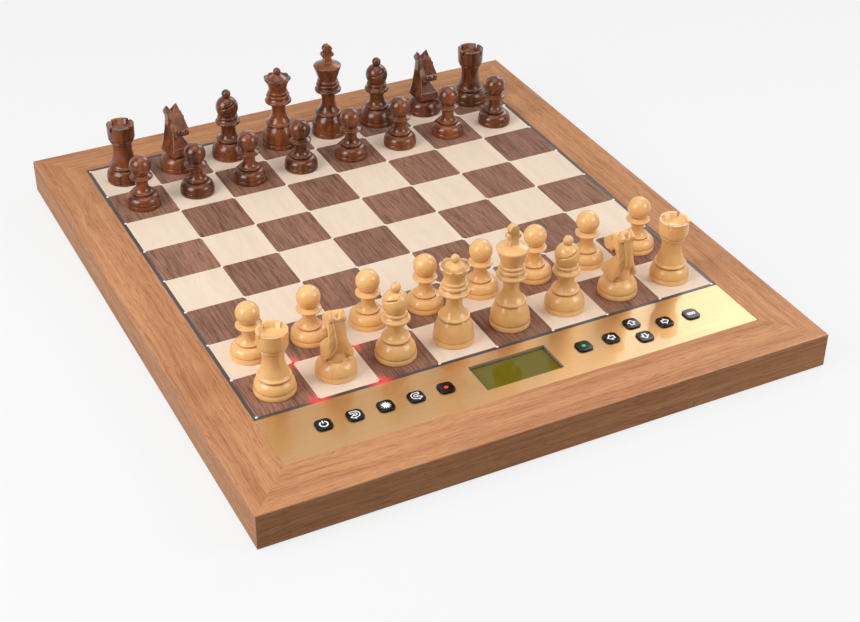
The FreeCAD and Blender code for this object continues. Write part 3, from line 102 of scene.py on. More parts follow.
class ChessComputerColours(bpy.types.PropertyGroup):
    """Colours of the finishes."""
    walnut: tint("Walnut", "Pale wood of the frame", "D39A6E")
    walnut_dark: tint("Walnut grain", "Dark growth lines of the frame", "A36A48")
    veneer: tint("Dark squares", "Pale fibres of the dark squares", "A77B67")
    veneer_dark: tint("Dark squares' grain", "Dark fibres of the dark squares", "55382C")
    maple: tint("Light squares", "Pale wood of the light squares", "F2DFCB")
    maple_dark: tint("Light squares' figure", "Faint figure of the light squares", "E6CFB8")
    border: tint("Border", "Dark line round the squares", "4C474A")
    brass: tint("Brass", "Brushed plate of the control panel", "D6AB74")
    olive: tint("Display", "Unlit liquid crystal", "69600F")
    steel: tint("Steel", "Metal frame of the display and the screws", "D6D5D0")
    black: tint("Buttons", "Moulded caps", "0C0C0D")
    print: tint("Print", "Signs on the caps", "F2F2F2")
    boxwood: tint("Boxwood", "Pale pieces", "FAC683")
    boxwood_dark: tint("Boxwood grain", "Grain of the pale pieces", "EBB069")
    rosewood: tint("Rosewood", "Dark pieces", "A0572B")
    rosewood_dark: tint("Rosewood grain", "Dark streaks of the dark pieces", "34190C")
    lamp: tint("Lamp", "Unlit lens of a corner lamp", "F6F6F8")
    lit: tint("Lit lamp", "Lit corner lamp", "F41220")
    backdrop: tint("Backdrop", "Floor and background", "F7F7F7")


class ChessComputerSizes(bpy.types.PropertyGroup):
    """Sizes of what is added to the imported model."""
    lamp_radius: length("Lamp", "Radius of a corner lamp", 1.3)
    lamp_crown: length("Lamp crown", "Height of a lamp's dome", 0.35)
    # Reach of the light painted round the lit lamps as emission.
    painted_glow: length("Glow", "How far the light of a lit lamp spreads", 15.0)
    print_height: length("Print", "Thickness of the signs on the caps", 0.05)
    cap_brim: length("Cap brim", "How far a cap reaches over the plate", 0.65)
    cap_brim_height: length("Cap brim height", "Underside of that brim above the plate", 0.86)
    carving_voxel: length("Carving", "Fineness of the carved meshes", 0.36)
    screw_slot: length("Screw slot", "Width of the cross in a screw head", 0.9)


# Nodes and meshes

def put(tree, kind, inputs=None, **settings):
    """Adds a node, sets its properties and gives its inputs their values or links."""
    node = tree.nodes.new(kind)
    for name, setting in settings.items():
        setattr(node, name, setting)
    for socket, source in (inputs or {}).items():
        if isinstance(source, bpy.types.NodeSocket):
            tree.links.new(source, node.inputs[socket])
        else:
            node.inputs[socket].default_value = source
    return node


def label(name):
    """A socket's label, from its name in small letters."""
    return name.replace("_", " ").title().replace("Ior", "IOR")


def blank(owner):
    """The emptied node tree of a material or world."""
    owner.use_nodes = True
    owner.node_tree.nodes.clear()
    return owner.node_tree


def new_material(name, **constants):
    """A material with one shader, whose constant sockets are set here."""
    material = bpy.data.materials.new(name)
    tree = blank(material)
    shader = put(tree, "ShaderNodeBsdfPrincipled", {label(socket): setting for socket, setting in constants.items()})
    put(tree, "ShaderNodeOutputMaterial", {"Surface": shader.outputs[0]})
    return material, tree, shader


def wire(tree, shader, **sources):
    """Links what was worked out to the sockets of a shader."""
    for socket, source in sources.items():
        tree.links.new(source, shader.inputs[label(socket)])


def vector(tree, operation, *sources):
    """One step of arithmetic on vectors."""
    node = put(tree, "ShaderNodeVectorMath", dict(enumerate(sources)), operation=operation)
    return node.outputs["Value" if operation in ("DISTANCE", "DOT_PRODUCT") else "Vector"]


def xyz(tree, parts):
    """A vector from some of its three parts, given by their numbers."""
    return put(tree, "ShaderNodeCombineXYZ", parts).outputs[0]


def shape(tree, kind, **inputs):
    """What a geometry node makes of its inputs."""
    return put(tree, "GeometryNode" + kind, {label(name): source for name, source in inputs.items()}).outputs[0]


def joined(tree, *parts):
    """Several shapes as one."""
    node = put(tree, "GeometryNodeJoinGeometry")
    for part in parts:
        tree.links.new(part, node.inputs[0])
    return node.outputs[0]


def strewn(tree, spots, item, material):
    """Copies of an item on all spots, as one mesh of a given material."""
    copies = shape(tree, "InstanceOnPoints", points=spots, instance=item)
    return shape(tree, "SetMaterial", geometry=shape(tree, "RealizeInstances", geometry=copies), material=material)


def place(tree, spot=None):
    """Object coordinates in metres, from a given spot."""
    here = put(tree, "ShaderNodeTexCoord").outputs["Object"]
    if spot is None:
        return here
    return vector(tree, "SUBTRACT", here, spot)


def speckle(tree, where, size, detail=2.0, rough=0.5):
    """Noise whose patches measure size, given along X, Y and Z in metres."""
    scaled = put(tree, "ShaderNodeMapping", {"Vector": where, "Scale": [1 / s for s in size]})
    return put(tree, "ShaderNodeTexNoise", {"Vector": scaled.outputs[0], "Scale": 1.0, "Detail": detail,
                                            "Roughness": rough}).outputs[0]


def spread(tree, source, low, high, to_low=0.0, to_high=1.0, smooth=True):
    kind = "SMOOTHSTEP" if smooth else "LINEAR"
    return put(tree, "ShaderNodeMapRange", {0: source, 1: low, 2: high, 3: to_low, 4: to_high},
               interpolation_type=kind).outputs[0]


def mixed(tree, factor, first, second, blend="MIX"):
    return put(tree, "ShaderNodeMix", {0: factor, 6: first, 7: second}, data_type="RGBA",
               blend_type=blend).outputs[2]


def summed(tree, first, second, operation="ADD"):
    return put(tree, "ShaderNodeMath", {0: first, 1: second}, operation=operation).outputs[0]


def raised(tree, height, distance, strength=1.0):
    return put(tree, "ShaderNodeBump", {"Height": height, "Distance": distance, "Strength": strength}).outputs[0]


def painted_lamp_glow(tree, reach):
    """How strongly the light painted round the four lit lamps shows at a place. Folding about the square makes one
    lamp of the four.
    """
    start, fall = 0.0012, 1.6
    folded = vector(tree, "ABSOLUTE", place(tree, LIT_MIDDLE))
    gap = vector(tree, "DISTANCE", folded, (SQUARE / 2, SQUARE / 2, 0.0))
    return summed(tree, spread(tree, gap, start, reach, 1.0, 0.0), fall, "POWER")


def add_mesh(name, made):
    """A new object with the mesh of a bmesh, its faces turned outwards."""
    bmesh.ops.recalc_face_normals(made, faces=made.faces)
    mesh = bpy.data.meshes.new(name)
    made.to_mesh(mesh)
    made.free()
    return add_object(name, mesh)


def add_object(name, mesh):
    made = bpy.data.objects.new(name, mesh)
    bpy.context.scene.collection.objects.link(made)
    return made


def finished(made, body, materials, replaced=None, sharp=38.0):
    """Shades a piece, gives it its finish and lets it ride on its body."""
    for material in materials:
        made.data.materials.append(material)
    made.data.shade_smooth()
    made.data.set_sharp_from_angle(angle=math.radians(sharp))
    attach(made, body)
    if replaced:
        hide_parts(replaced)
    return made


def modified(made, kind, **settings):
    """Adds a modifier with given settings."""
    modifier = made.modifiers.new(kind.lower(), kind)
    for name, setting in settings.items():
        setattr(modifier, name, setting)


def evaluated(made):
    """The mesh an object has once its modifiers are applied."""
    graph = bpy.context.evaluated_depsgraph_get()
    return bpy.data.meshes.new_from_object(made.evaluated_get(graph))


def paint(node, material):
    """Gives a carried-over solid its finish."""
    slots = NODES[node].data.materials
    slots.clear()
    slots.append(material)


def merged(node):
    """A copy of a solid's triangles, joined where they meet."""
    made = bmesh.new()
    made.from_mesh(NODES[node].data)
    bmesh.ops.remove_doubles(made, verts=made.verts, dist=1e-6)
    return made


def cut(made, height, keep_above):
    """Cuts a closed shape level and keeps one part, closed again."""
    found = bmesh.ops.bisect_plane(made, geom=made.verts[:] + made.edges[:] + made.faces[:], dist=1e-7,
                                   plane_co=(0, 0, height), plane_no=(0, 0, 1), clear_inner=keep_above,
                                   clear_outer=not keep_above)
    rim = [item for item in found["geom_cut"] if isinstance(item, bmesh.types.BMEdge)]
    bmesh.ops.holes_fill(made, edges=rim, sides=0)
    return made


def grown(name, tree, **inputs):
    """What a Geometry Nodes tree makes of its inputs, as a plain mesh object."""
    made = add_object(name, bpy.data.meshes.new(name))
    modifier = made.modifiers.new(name, "NODES")
    modifier.node_group = tree
    for item in tree.interface.items_tree:
        if item.in_out == "INPUT":
            modifier[item.identifier] = inputs[item.name.lower().replace(" ", "_")]
    mesh = evaluated(made)
    made.modifiers.remove(modifier)
    made.data = mesh
    return made


def new_tree(name, inputs):
    """A Geometry Nodes tree with named inputs, and the sockets they come in by."""
    tree = bpy.data.node_groups.new(name, "GeometryNodeTree")
    tree.interface.new_socket("Geometry", in_out="OUTPUT", socket_type="NodeSocketGeometry")
    for socket, kind in inputs.items():
        tree.interface.new_socket(socket, in_out="INPUT", socket_type="NodeSocket" + kind)
    entry = put(tree, "NodeGroupInput")
    return tree, {socket: entry.outputs[socket] for socket in inputs}


# Finishes

def wood(name, pale, deep, along, streak, contrast, pore, pore_depth, rough, coat=0.0, cells=None, edges=False,
         painted_glow=None):
    """Lacquered wood: slow bands of colour, streaks and fine fibres that wander a little, and short dark pores, all
    drawn out along the fibres. Along is 0, 1 or 2 for X, Y or Z. Streak and pore are widths and lengths in metres,
    and contrast is how much bands, streaks and fibres darken. Cells is how dark and how light the leaf or piece on
    each square may be, edges polishes the rounded edges, and the last argument is the colour and reach of the light
    painted round the lit lamps. Painted shade darkens the grooves and hollows that a mesh marks."""
    wander, other_log = 0.7 * streak[0], (7.0, 7.0, 7.0)
    material, tree, shader = new_material(name, coat_weight=coat, coat_roughness=0.19, specular_ior_level=0.12)
    where = place(tree, GRID_LOW)
    if cells:
        # What lies on each square comes from another piece of wood: another pattern, a little lighter or darker.
        cell = vector(tree, "FLOOR", vector(tree, "MULTIPLY", where, (1 / SQUARE, 1 / SQUARE, 0.0)))
        chance = put(tree, "ShaderNodeTexWhiteNoise", {"Vector": cell}, noise_dimensions="3D")
        where = vector(tree, "MULTIPLY_ADD", chance.outputs["Color"], other_log, where)

    def drawn(width, reach):
        return [reach if axis == along else width for axis in range(3)]

    # The fibres wander sideways by up to two thirds of a streak.
    sway = speckle(tree, where, drawn(0.035, 0.09), 1.0)
    across = put(tree, "ShaderNodeVectorMath", {0: [float(axis != along) for axis in range(3)],
                                                "Scale": spread(tree, sway, 0.2, 0.8, -wander, wander)},
                 operation="SCALE")
    where = vector(tree, "ADD", where, across.outputs[0])
    bands = speckle(tree, where, drawn(0.014, 0.30), 2.0)
    streaks = speckle(tree, where, drawn(*streak), 3.0, 0.55)
    fibres = speckle(tree, where, drawn(pore[0] * 1.3, pore[1] * 3), 3.0, 0.6)
    grain = summed(tree, spread(tree, bands, 0.3, 0.7, 0.0, contrast[0]),
                   spread(tree, streaks, 0.40, 0.72, 0.0, contrast[1]))
    grain = summed(tree, grain, spread(tree, fibres, 0.38, 0.68, 0.0, contrast[2]))
    shade = mixed(tree, grain, pale, deep)
    pores = spread(tree, speckle(tree, where, drawn(*pore), 1.0), 0.57, 0.70)
    shade = mixed(tree, summed(tree, pores, pore_depth, "MULTIPLY"), shade, times(deep, 0.35))
    if cells:
        lift = spread(tree, chance.outputs["Value"], 0.0, 1.0, *cells, smooth=False)
        shade = put(tree, "ShaderNodeHueSaturation", {"Color": shade, "Value": lift}).outputs[0]
    # Painted shade: grooves and hollows of the pieces are darkened, as far as the mesh marks each point.
    hollow_shade = put(tree, "ShaderNodeAttribute", attribute_name="hollow_shade").outputs["Fac"]
    shade = mixed(tree, hollow_shade, shade, times(deep, 0.10))
    gloss = spread(tree, fibres, 0.3, 0.7, rough - 0.05, rough + 0.06)
    if edges:
        # Hands polish the rounded edges, where the surface looks along no axis.
        turned = vector(tree, "ABSOLUTE", put(tree, "ShaderNodeNewGeometry").outputs["Normal"])
        x, y, z = put(tree, "ShaderNodeSeparateXYZ", {0: turned}).outputs
        flat = summed(tree, summed(tree, x, y, "MAXIMUM"), z, "MAXIMUM")
        bent = spread(tree, flat, 0.97, 0.85)
        gloss = summed(tree, gloss, spread(tree, bent, 0.0, 1.0, 1.0, 0.45), "MULTIPLY")
        wire(tree, shader, coat_weight=bent)
    relief = raised(tree, summed(tree, fibres, pores, "SUBTRACT"), 0.00005, 0.5)
    wire(tree, shader, base_color=shade, roughness=gloss, normal=relief)
    # The light glowing round the lit lamps is painted on as emission.
    if painted_glow:
        shader.inputs["Emission Color"].default_value, reach = painted_glow
        wire(tree, shader, emission_strength=summed(tree, painted_lamp_glow(tree, reach), 0.6, "MULTIPLY"))
    return material


def dark_edge_band(looks, sizes):
    """Black-stained hardwood under satin lacquer: an even dark grey line, a little darker along its grain."""
    material, tree, shader = new_material("stained_hardwood", roughness=0.38, specular_ior_level=0.5,
                                          emission_color=looks.lit)
    fine = speckle(tree, place(tree), (0.0008, 0.014, 0.0008), 3.0)
    # The light glowing round the lit lamps is painted on the band as emission.
    wire(tree, shader, base_color=mixed(tree, fine, looks.border, times(looks.border, 0.7)),
         emission_strength=painted_lamp_glow(tree, sizes.painted_glow * 1.3))
    return material


def brushed_brass(looks, sizes):
    """Lacquered satin brass: fine level hairlines spread what the metal mirrors, and the clear lacquer over it keeps
    a faint sharp image of the pieces. The hairlines, a tenth of a millimetre wide, are drawn four times as wide so
    that they show."""
    material, tree, shader = new_material("brushed_brass", metallic=1.0, coat_weight=0.7, coat_roughness=0.05,
                                          emission_color=looks.lit)
    where = place(tree)
    hair = speckle(tree, where, (0.06, 0.0004, 0.01), 3.0, 0.65)
    cloud = speckle(tree, where, (0.11, 0.035, 0.1), 2.0)
    deep = [looks.brass[0] * 0.95, looks.brass[1] * 0.92, looks.brass[2] * 0.86, 1.0]
    tone = mixed(tree, spread(tree, hair, 0.3, 0.7), looks.brass, deep)
    blur = summed(tree, spread(tree, hair, 0.3, 0.7, 0.36, 0.42), spread(tree, cloud, 0.3, 0.7, 0.0, 0.05))
    # The light glowing round the lit lamps is painted on the plate as emission.
    painted_shine = summed(tree, painted_lamp_glow(tree, sizes.painted_glow * 0.9), 0.4, "MULTIPLY")
    wire(tree, shader, base_color=tone, roughness=blur, normal=raised(tree, hair, 0.000010, 0.6),
         emission_strength=painted_shine)
    return material


def liquid_crystal(looks):
    """Olive liquid crystal behind polished glass: one even colour, faint segment rows, a black printed edge."""
    material, tree, shader = new_material("liquid_crystal", roughness=0.06, specular_ior_level=0.3)
    low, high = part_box("display_glass")
    where = place(tree, (low + high) / 2)
    cells = put(tree, "ShaderNodeTexBrick",
                {"Vector": where, "Scale": 1.0, "Brick Width": 0.0032, "Row Height": 0.0058, "Mortar Size": 0.00022,
                 "Color1": looks.olive, "Color2": looks.olive, "Mortar": times(looks.olive, 1.05)}, offset=0.0)
    cloud = speckle(tree, where, (0.05, 0.03, 0.05))
    shade = mixed(tree, spread(tree, cloud, 0.3, 0.7, 0.0, 0.25), cells.outputs[0], colour("6C661E"))
    half = (high - low) / 2
    inner, outer = 0.0042, 0.0036
    x, y, _ = put(tree, "ShaderNodeSeparateXYZ", {0: vector(tree, "ABSOLUTE", where)}).outputs
    edge = summed(tree, spread(tree, x, half.x - inner, half.x - outer),
                  spread(tree, y, half.y - inner, half.y - outer), "MAXIMUM")
    wire(tree, shader, base_color=mixed(tree, edge, shade, colour("0B0B0A")))
    return material


def plated_steel(looks, name="plated_steel"):
    """Pressed steel with a dull plating: soft grey reflections with a fine grit."""
    material, tree, shader = new_material(name, metallic=1.0)
    grit = speckle(tree, place(tree), (0.0006, 0.0006, 0.0006), 2.0)
    wire(tree, shader, base_color=mixed(tree, grit, looks.steel, times(looks.steel, 0.8)),
         roughness=spread(tree, grit, 0.2, 0.8, 0.40, 0.56))
    return material


def moulded(name, shade, rough, grit, depth, specular=0.5):
    """Moulded plastic or rubber: one colour, a surface grit of a given size, gloss that varies a little with it."""
    material, tree, shader = new_material(name, specular_ior_level=specular)
    grain = speckle(tree, place(tree), (grit, grit, grit), 2.0)
    wire(tree, shader, base_color=mixed(tree, grain, shade, times(shade, 1.25)),
         roughness=spread(tree, grain, 0.25, 0.75, rough - 0.04, rough + 0.06), normal=raised(tree, grain, depth))
    return material


def lens(name, shade, strength):
    """Diffusing epoxy lens of a lamp: milky, a little cloudy, and lit through when it is on; a lens that is off may
    be given a faint painted light.
    """
    material, tree, shader = new_material(name, roughness=0.18, specular_ior_level=0.5, emission_color=shade)
    cloud = speckle(tree, place(tree), (0.0009, 0.0009, 0.0009))
    wire(tree, shader, base_color=mixed(tree, spread(tree, cloud, 0.3, 0.7, 0.0, 0.12), shade, times(shade, 0.8)),
         emission_strength=spread(tree, cloud, 0.2, 0.8, strength * 0.9, strength))
    return material


def circuit_laminate():
    """Glass-fibre laminate under solder mask: dark green, with a faint weave and copper tracks that show through."""
    material, tree, shader = new_material("circuit_laminate", roughness=0.35, specular_ior_level=0.5)
    where = place(tree)
    tracks = put(tree, "ShaderNodeTexBrick",
                 {"Vector": where, "Scale": 1.0, "Brick Width": 0.021, "Row Height": 0.0031, "Mortar Size": 0.0004,
                  "Color1": colour("12442A"), "Color2": colour("154B2F"), "Mortar": colour("2C6B45")})
    weave = spread(tree, speckle(tree, where, (0.0008, 0.0008, 0.0008)), 0.3, 0.7, 0.0, 0.3)
    wire(tree, shader, base_color=mixed(tree, weave, tracks.outputs[0], colour("0E3621")))
    return material


def pressed_fibre():
    """Hardboard: pressed brown wood fibres, mottled, without gloss."""
    material, tree, shader = new_material("hardboard", roughness=0.75, specular_ior_level=0.25)
    where = place(tree)
    fibre = speckle(tree, where, (0.004, 0.0012, 0.004), 4.0, 0.7)
    mottle = spread(tree, speckle(tree, where, (0.02, 0.02, 0.02), 3.0), 0.35, 0.7, 0.0, 0.5)
    shade = mixed(tree, fibre, colour("6E4A30"), colour("553622"))
    wire(tree, shader, base_color=mixed(tree, mottle, shade, colour("7D5A3D")), normal=raised(tree, fibre, 0.00012))
    return material


# Pieces

class ChessOperator(bpy.types.Operator):
    """Shared by the steps below."""
    bl_options = {"REGISTER", "UNDO"}

    def execute(self, context):
        self.make(context.scene.chess_colours, context.scene.chess_sizes)
        return {"FINISHED"}


class CHESS_OT_frame(ChessOperator):
    """Walnut rails, with their grain along each rail"""
    bl_idname = "chess.frame"
    bl_label = "Frame rails"

    def make(self, looks, sizes):
        # Walnut under satin lacquer: warm brown with slow bands, long streaks 3 mm wide and short dark pores. The
        # pores, a third of a millimetre wide, are drawn twice as wide so that they show.
        for along, nodes in ((0, ("frame_front_rail", "frame_rear_rail")),
                             (1, ("frame_left_rail", "frame_right_rail"))):
            walnut = wood("satin_walnut_" + "xy"[along], looks.walnut, looks.walnut_dark, along,
                          streak=(0.0030, 0.14), contrast=(0.34, 0.40, 0.30), pore=(0.0007, 0.013), pore_depth=0.38,
                          rough=0.50, edges=True)
            for node in nodes:
                paint(node, walnut)


class CHESS_OT_board(ChessOperator):
    """Veneered squares and the dark line round them"""
    bl_idname = "chess.board"
    bl_label = "Playing board"

    def make(self, looks, sizes):
        # Walnut veneer, its fibres towards the players: dark and pale streaks two millimetres wide, dark pores.
        # The light glowing round the lit lamps is painted on the dark squares.
        paint("dark_squares", wood("walnut_veneer", looks.veneer, looks.veneer_dark, 1, streak=(0.0022, 0.045),
                                   contrast=(0.22, 0.42, 0.40), pore=(0.0007, 0.010), pore_depth=0.42, rough=0.48,
                                   cells=(0.90, 1.10), painted_glow=(looks.lit, sizes.painted_glow)))
        # Maple veneer: nearly even cream, with the faintest figure.
        paint("light_squares", wood("maple_veneer", looks.maple, looks.maple_dark, 1, streak=(0.0060, 0.060),
                                    contrast=(0.35, 0.20, 0.30), pore=(0.0006, 0.006), pore_depth=0.03, rough=0.48))
        paint("board_panel", dark_edge_band(looks, sizes))


class CHESS_OT_lamps(ChessOperator):
    """A lamp at every corner of the squares, four of them lit"""
    bl_idname = "chess.lamps"
    bl_label = "Corner lamps"

    def make(self, looks, sizes):
        tree, given = new_tree("lamp_grid", {
            "Count": "Int", "Step": "Float", "Radius": "Float", "Crown": "Float", "Depth": "Float",
            "Middle": "Vector", "Lit middle": "Vector", "Lens": "Material", "Lit lens": "Material"})
        gaps = summed(tree, given["Count"], 1.0, "SUBTRACT")
        side = summed(tree, gaps, given["Step"], "MULTIPLY")
        grid = shape(tree, "MeshGrid", size_x=side, size_y=side, vertices_x=given["Count"],
                     vertices_y=given["Count"])
        facets, rings = 14, 6
        barrel = shape(tree, "MeshCylinder", vertices=facets, radius=given["Radius"], depth=given["Depth"])
        down = xyz(tree, {2: summed(tree, given["Depth"], -0.5, "MULTIPLY")})
        barrel = shape(tree, "Transform", geometry=barrel, translation=down)
        ball = shape(tree, "MeshUVSphere", segments=facets, rings=rings, radius=given["Radius"])
        flat = summed(tree, given["Crown"], given["Radius"], "DIVIDE")
        dome = shape(tree, "Transform", geometry=ball, scale=xyz(tree, {0: 1.0, 1: 1.0, 2: flat}))
        spots = shape(tree, "Transform", geometry=grid, translation=given["Middle"])
        plain = strewn(tree, spots, joined(tree, barrel, dome), given["Lens"])
        gap = vector(tree, "DISTANCE", shape(tree, "InputPosition"), given["Lit middle"])
        near = put(tree, "FunctionNodeCompare", {0: gap, 1: given["Step"]}, operation="LESS_THAN")
        lit = shape(tree, "SetMaterial", geometry=plain, selection=near.outputs[0], material=given["Lit lens"])
        put(tree, "NodeGroupOutput", {0: lit})
        low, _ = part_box("corner_lamps")
        # The lenses of the lamps that are off get a faint painted light too.
        unlit_lens_painted_glow, shining = lens("milky_epoxy", looks.lamp, 0.08), lens("lit_epoxy", looks.lit, 0.7)
        middle = (GRID_LOW + GRID_HIGH) / 2
        lamps = grown("corner_lamp_lenses", tree, count=SQUARES + 1, step=SQUARE, radius=sizes.lamp_radius,
                      crown=sizes.lamp_crown, depth=SURFACE - low.z, middle=(middle.x, middle.y, SURFACE),
                      lit_middle=LIT_MIDDLE, lens=unlit_lens_painted_glow, lit_lens=shining)
        finished(lamps, "board", (), "corner_lamps")


class CHESS_OT_panel(ChessOperator):
    """Brass plate, display and the circuit boards behind them"""
    bl_idname = "chess.panel"
    bl_label = "Control panel"

    def make(self, looks, sizes):
        paint("control_panel", brushed_brass(looks, sizes))
        paint("display_glass", liquid_crystal(looks))
        paint("display_bezel", plated_steel(looks))
        laminate = circuit_laminate()
        paint("main_board", laminate)
        paint("sensor_board", laminate)


def rounded_ring(half, radius, steps=10):
    """Points round a square with round corners, anticlockwise."""
    points = []
    for quarter in range(4):
        turn = quarter * math.pi / 2
        for step in range(steps + 1):
            angle = turn + step / steps * math.pi / 2
            corner = Vector((half - radius, half - radius))
            corner.rotate(Matrix.Rotation(turn, 2))
            points.append(corner + Vector((math.cos(angle), math.sin(angle))) * radius)
    return points


def loft(made, rings):
    """Closes a shape over level rings of as many points each, given with their heights."""
    rows = [[made.verts.new((*point, height)) for point in ring] for ring, height in rings]
    count = len(rows[0])
    for lower, upper in zip(rows, rows[1:]):
        for k in range(count):
            made.faces.new((lower[k], lower[(k + 1) % count], upper[(k + 1) % count], upper[k]))
    made.faces.new(rows[0][::-1])
    made.faces.new(rows[-1])


def stroke(points, width, closed=False):
    """Quads of a line of a given width along the points, with mitred corners."""
    count = len(points)
    sides = []
    for k, point in enumerate(points):
        before = points[k - 1] if closed or k else None
        after = points[(k + 1) % count] if closed or k < count - 1 else None
        runs = [(b - a).normalized() for a, b in ((before, point), (point, after)) if a is not None and b is not None]
        normals = [Vector((-run.y, run.x)) for run in runs]
        mitre = sum(normals, Vector((0, 0))).normalized()
        reach = width / 2 / max(mitre.dot(normals[0]), 0.4)
        sides.append((point + mitre * reach, point - mitre * reach))
    last = count if closed else count - 1
    return [(*sides[k][::-1], *sides[(k + 1) % count]) for k in range(last)]


def arc(x, y, radius, start, end, steps=18):
    """Points on a round line, with its angles in degrees."""
    angles = [math.radians(start + (end - start) * k / steps) for k in range(steps + 1)]
    return [Vector((x + radius * math.cos(a), y + radius * math.sin(a))) for a in angles]


def outline(*corners):
    return [Vector(corner) for corner in corners]


def block_arrow(turn):
    """Hollow arrow, turned from pointing along +Y."""
    shape = outline((0, 3.4), (3.4, 0.1), (1.7, 0.1), (1.7, -2.9), (-1.7, -2.9), (-1.7, 0.1), (-3.4, 0.1))
    for point in shape:
        point.rotate(Matrix.Rotation(math.radians(turn), 2))
    return stroke(shape, 1.05, closed=True)


def return_arrow(side):
    """Hollow arrow that turns back on itself. Side is 1 where it bulges to the right."""
    shape = outline((-3.2, 4.3)) + arc(0.2, 0.4, 3.9, 90, -90) + outline(
        (-1.0, -3.5), (-1.0, -4.8), (-4.4, -2.3), (-1.0, 0.1), (-1.0, -1.1)) + arc(0.2, 0.4, 1.5, -90, 90) + outline(
        (-3.2, 1.9))
    return [tuple(Vector((side * p.x, p.y)) for p in face) for face in stroke(shape, 0.85, closed=True)]


def burst():
    """A round flash with short rays."""
    points = []
    count, radii = 24, (2.5, 4.9)
    for k in range(count):
        radius = radii[k % 2]
        angle = 2 * math.pi * k / count
        points.append(Vector((radius * math.cos(angle), radius * math.sin(angle))))
    return [tuple(points)]


def bar_sign():
    """A bar with three dashes left open in it."""
    faces = [tuple(outline((-3.8, y0), (3.8, y0), (3.8, y1), (-3.8, y1))) for y0, y1 in ((-1.6, -0.45), (0.45, 1.6))]
    for x0, x1 in ((-3.8, -2.9), (-1.5, -0.6), (0.8, 1.7), (3.1, 3.8)):
        faces.append(tuple(outline((x0, -0.45), (x1, -0.45), (x1, 0.45), (x0, 0.45))))
    return faces


def power_sign():
    return stroke(arc(0, -0.2, 3.3, 118, 422, 40), 1.15) + stroke(outline((0, 0.4), (0, 4.2)), 1.15)


SIGNS = {
    "button_power": power_sign(), "button_back": return_arrow(1), "button_hint": burst(),
    "button_forward": return_arrow(-1), "button_left": block_arrow(90), "button_up": block_arrow(0),
    "button_down": block_arrow(180), "button_right": block_arrow(-90), "button_menu": bar_sign(),
}
DOTS = {"button_red": "F03018", "button_green": "35A83F"}


class CHESS_OT_buttons(ChessOperator):
    """Push buttons with their printed signs"""
    bl_idname = "chess.buttons"
    bl_label = "Push buttons"

    def make(self, looks, sizes):
        # Polished ABS caps: deep black, mirror-like on the flat top, a pale line along the rounded edge.
        cap = moulded("polished_abs", looks.black, rough=0.14, grit=0.004, depth=0.000004, specular=0.3)
        # Pad-printed ink: matt white, a hair thicker in places.
        ink = moulded("printed_ink", looks.print, rough=0.45, grit=0.0006, depth=0.000006)
        for name in (*SIGNS, *DOTS):
            low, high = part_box(name)
            middle = (low + high) / 2
            top = high.z - SURFACE
            made = bmesh.new()
            self.cap(made, top, sizes)
            materials = [cap, ink]
            if name in DOTS:
                materials[1] = lens("tinted_lens_" + name[7:], colour(DOTS[name]), 0.5)
                self.dot(made, top)
            else:
                self.sign(made, SIGNS[name], top, sizes.print_height)
            made.transform(Matrix.Translation((middle.x, middle.y, SURFACE)))
            finished(add_mesh("push_" + name, made), name, materials, name)

    def cap(self, made, top, sizes):
        """Stem, lip, cap and its rounded edge, as one shape over level rings."""
        low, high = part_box("button_power")
        foot, lip = low.z - SURFACE, (high.x - low.x) / 2
        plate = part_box("control_panel")[0].z - SURFACE
        ledge, corner, stem, flange = 1.25 * MM, 3.8 * MM, 2.2 * MM, MM
        half = lip - ledge
        post, guard, neck = (rounded_ring(stem, stem - 1e-6), rounded_ring(lip, corner + ledge),
                             rounded_ring(half, corner))
        rings = [(post, foot), (post, plate - flange), (guard, plate - flange), (guard, plate), (neck, plate),
                 (neck, sizes.cap_brim_height)]
        # The brim hides the gap in the plate and stays clear of it when the button is down.
        half += sizes.cap_brim
        bevel = top - sizes.cap_brim_height
        steps = 6
        for step in range(steps + 1):
            angle = step / steps * math.pi / 2
            inset, rise = 1.5 * bevel * (1 - math.cos(angle)), bevel * (math.sin(angle) - 1)
            rings.append((rounded_ring(half - inset, corner + sizes.cap_brim - inset * 0.8), top + rise))
        loft(made, rings)

    def sign(self, made, faces, top, thickness):
        """A printed sign, standing a hair above the cap."""
        corners = {}
        flat = []
        for face in faces:
            ring = []
            for point in face:
                key = (round(point.x, 4), round(point.y, 4))
                if key not in corners:
                    corners[key] = made.verts.new((point.x * MM, point.y * MM, top + thickness))
                if corners[key] not in ring:
                    ring.append(corners[key])
            flat.append(made.faces.new(ring))
        sunk = bmesh.ops.extrude_face_region(made, geom=flat)
        below = [item for item in sunk["geom"] if isinstance(item, bmesh.types.BMVert)]
        bmesh.ops.translate(made, verts=below, vec=(0, 0, -2 * thickness))
        for vertex in list(corners.values()) + below:
            for face in vertex.link_faces:
                face.material_index = 1

    def dot(self, made, top):
        """A small round lens let into the cap."""
        rings = [1.85, 1.85, 1.6, 1.1, 0.45]
        heights = [-0.3, 0.02, 0.14, 0.22, 0.26]
        before, count = set(made.faces), 24
        angles = [2 * math.pi * k / count for k in range(count)]
        loft(made, [([Vector((r * MM * math.cos(a), r * MM * math.sin(a))) for a in angles], top + h * MM)
                    for r, h in zip(rings, heights)])
        for face in set(made.faces) - before:
            face.material_index = 1


